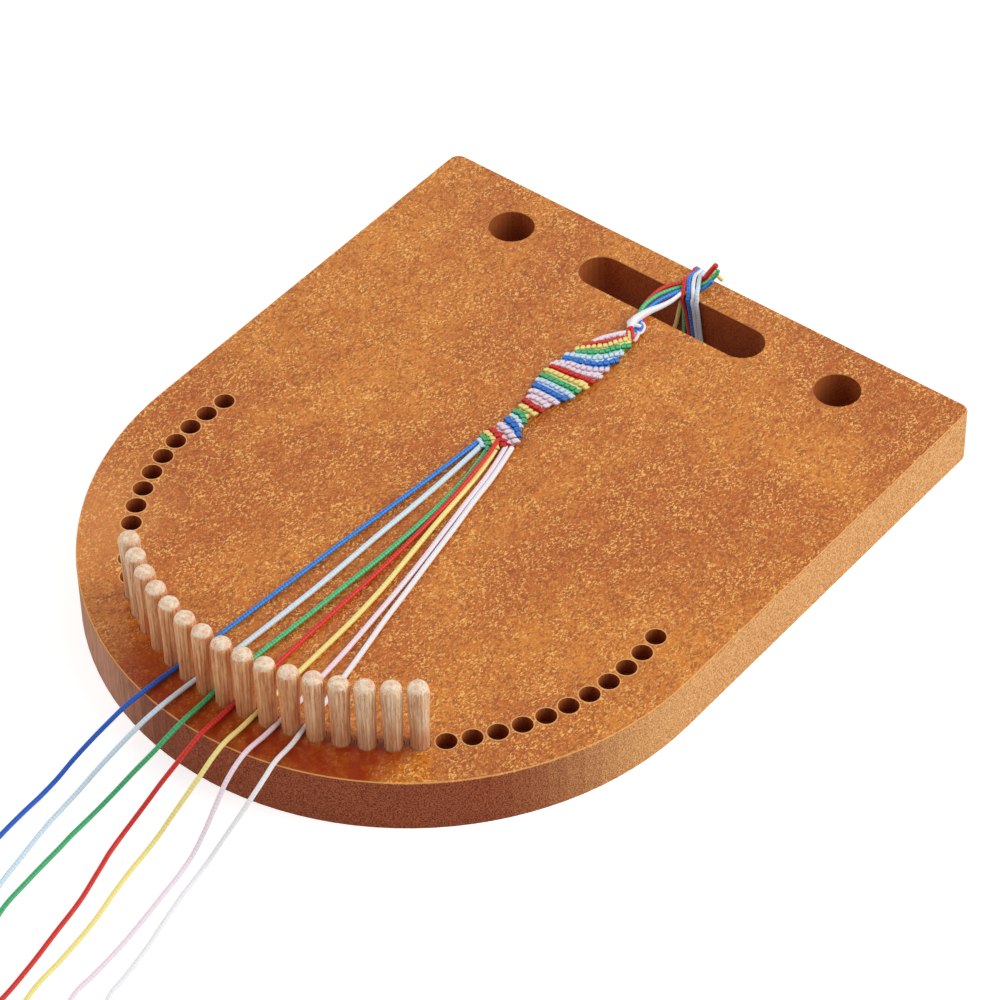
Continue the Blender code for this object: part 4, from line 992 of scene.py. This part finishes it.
# Turns: x at the top and the foot of the slot's wall and at the foot of the back edge, how far
# the turn stands off the front corner, and its points over the bar from back to front
TURNS = {
    "red": (0, 3.3, -3.9, 0.8, ((-4.1, 145.6, 19.9), (-3.7, 144.3, 19.95), (-3.3, 142.6, 20.2),
      (-2.95, 141, 20.75), (-2.6, 139.2, 21.35), (-1.95, 137.2, 21.45), (-1, 135.9, 21.4),
      (-0.4, 134.9, 21))),
    "blue": (1.95, 4.8, -2, 0.3, ((-3.1, 145.7, 19.95), (-2.8, 144.3, 20.2), (-2.55, 142.8, 20.7),
      (-2.3, 141.4, 21.2), (-1.7, 139.6, 21.5), (-0.5, 137.5, 21.5), (0.85, 135.7, 21.4),
      (1.4, 135.1, 21))),
    "white": (3.6, 6.25, -0.1, 0, ((-2.1, 145.8, 19.9), (-1.9, 144.5, 20.2), (-1.55, 143, 20.8),
      (-1, 141.5, 21.3), (0.2, 139.3, 21.5), (1.65, 137, 21.5), (2.65, 135.7, 21.4),
      (3.1, 135.1, 21))),
    "light_blue": (5.2, 7.7, 1.8, 0, ((-1, 145.8, 19.95), (-0.4, 144.6, 20.4), (0.1, 143.2, 21.1),
      (0.65, 142, 21.5), (1.6, 140.2, 21.5), (2.95, 138, 21.5), (4.2, 135.8, 21.4),
      (4.65, 135.1, 21))),
}
BAR_FRONT = 135.1  # millimetres from the arc's centre, as the lists above
BAR_BACK = 146.2
BAR_TOP = 19
RELIEF = 1.9
TURN_REACH = 0.93  # from the wood to the middle of a turn
BACK_REACH = 0.9
TURN_LOW = 0.9
TURN_ENDS = (0.7, 3.2)  # where a turn's ends lie, either side of the middle of the bar
WALL = BAR_FRONT - TURN_REACH


def dress_string(name, points, colour, node, widths=(1.35,)):
    line = spaced(smooth_curve(points), 0.7 * MM)
    shares = np.linspace(0, len(widths) - 1, len(line))
    diameters = np.interp(shares, range(len(widths)), widths) * MM
    tube = make_tube(name, line, diameters, string_finishes[colour])
    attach(tube, "base")
    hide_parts(node)


def round_corner(corner_y, corner_z, start):
    return [(corner_y + TURN_REACH * cos(radians(start + step)),
             corner_z + TURN_REACH * sin(radians(start + step))) for step in (8, 45, 82)]


def turn_points(front_top, front_foot, back_foot, stand_off, over):
    """One turn: up the back, over the leads, down the slot's wall and back under the bar."""
    back = BAR_BACK + BACK_REACH
    middle = (BAR_FRONT + BAR_BACK) / 2
    back_top = over[0][0]
    loop = [(middle + end, TURN_LOW, "under") for end in TURN_ENDS]
    loop += [(y, z, "under") for y, z in round_corner(BAR_BACK, RELIEF, -90)]
    loop += [(back, BAR_TOP * share, "back") for share in (0.36, 0.62)]
    loop += [(y, z, "back") for y, z in round_corner(BAR_BACK, BAR_TOP, 0)[:2]]
    loop += [(y, z, x) for x, y, z in over]
    loop += [(y - stand_off * 0.9, z + stand_off * 0.3, "front")
             for y, z in round_corner(BAR_FRONT, BAR_TOP, 90)[1:]]
    loop += [(WALL - stand_off * 0.5, BAR_TOP * 0.82, "front")]
    loop += [(WALL, BAR_TOP * share, "front") for share in (0.62, 0.36)]
    loop += [(y, z, "under") for y, z in round_corner(BAR_FRONT, RELIEF, 180)]
    loop += [(middle - end, TURN_LOW, "under") for end in reversed(TURN_ENDS)]
    points = []
    for y, z, part in loop:
        rise = (z - TURN_LOW) / (BAR_TOP - TURN_LOW)
        share = min(max((y - WALL) / (back - WALL), 0), 1)
        x = {"under": front_foot + (back_foot - front_foot) * share,
             "back": back_foot + (back_top - back_foot) * rise,
             "front": front_foot + (front_top - front_foot) * min(rise, 1)}.get(part, part)
        points.append((x, y, z))
    return placed(points)


for name, points in LEADS.items():
    dress_string(f"tie_lead_{name}", placed(points, BOARD_TOP, LEAD_HEIGHT), name, f"lead_{name}",
                 LEAD_WIDTHS[name])
for name, places in TURNS.items():
    dress_string(f"tie_turn_{name}", turn_points(*places), name, f"wrap_{name}")
for name, (high_x, low_x) in {"yellow": (-0.9, -3.3), "green": (0.3, 0.7)}.items():
    strand = [(high_x, WALL, BAR_TOP - 3)]
    strand += [(high_x * share + low_x * (1 - share), WALL, BAR_TOP * height)
               for share, height in ((0.7, 0.62), (0.35, 0.36))]
    strand += [(low_x, y, z) for y, z in round_corner(BAR_FRONT, RELIEF, 180)]
    strand.append((low_x - 0.8, BAR_FRONT + 1.7, TURN_LOW))
    dress_string(f"tie_strand_{name}", placed(strand), name, f"slot_strand_{name}")
tail = [(2.7, 147.1, 10), (2.4, 147.1, 15), (1.6, 147.2, 19), (1.7, 147.3, 20.5),
        (2.9, 147.2, 20.8), (4.4, 147.1, 20.2), (5.9, 147, 19.7)]
dress_string("tie_tail_yellow", placed(tail), "yellow", "tail_yellow")


# Floor and light
# A pale plain table under soft light from the right and behind, with a white surround. Part of
# the white is seen by the camera and in reflections only, and lights nothing.
def seen(tree):
    """1 for rays that show a thing or its reflection, and 0 for those that light others."""
    rays = add(tree, "ShaderNodeLightPath")
    return calc("MAXIMUM", rays["Is Camera Ray"],
                calc("MAXIMUM", rays["Is Glossy Ray"], rays["Is Transmission Ray"]))


floor_data = bpy.data.meshes.new("floor")
floor_data.from_pydata([(-3, -3, 0), (3, -3, 0), (3, 3, 0), (-3, 3, 0)], [], [(0, 1, 2, 3)])
floor = in_scene("floor", floor_data)
floor_finish, shader, _ = new_finish("pale floor", Roughness=0.9, Base_Color=(0.86, 0.86, 0.86, 1))
tree = floor_finish.node_tree
glow = add(tree, "ShaderNodeEmission", {"Color": (1, 1, 1, 1), "Strength": 0.55})
none = add(tree, "ShaderNodeEmission", {"Color": (0, 0, 0, 1), "Strength": 0})
lit = add(tree, "ShaderNodeMixShader", {0: seen(tree), 1: none, 2: glow})
both = add(tree, "ShaderNodeAddShader", {0: Value(shader.outputs[0]), 1: lit})
fill(tree.nodes["Material Output"].inputs["Surface"], both)
floor_data.materials.append(floor_finish)

world = bpy.data.worlds.new("surround")
bpy.context.scene.world = world
world.use_nodes = True
sky = world.node_tree.nodes["Background"].inputs
sky["Color"].default_value = (1, 1, 1, 1)
fill(sky["Strength"], seen(world.node_tree) * 0.57 + 0.43)


def area_light(name, place, size, power):
    """A round soft light aimed at the middle of the model's frame."""
    data = bpy.data.lights.new(name, "AREA")
    data.shape = "DISK"
    data.size = size
    data.energy = power
    made = in_scene(name, data)
    made.location = place
    made.rotation_euler = (-Vector(place)).to_track_quat("-Z", "Y").to_euler()


area_light("key", (0.98, 0.62, 0.98), 1.4, 15)
area_light("fill", (-0.9, -0.7, 0.9), 1, 5)

bpy.context.scene.view_settings.view_transform = "Standard"
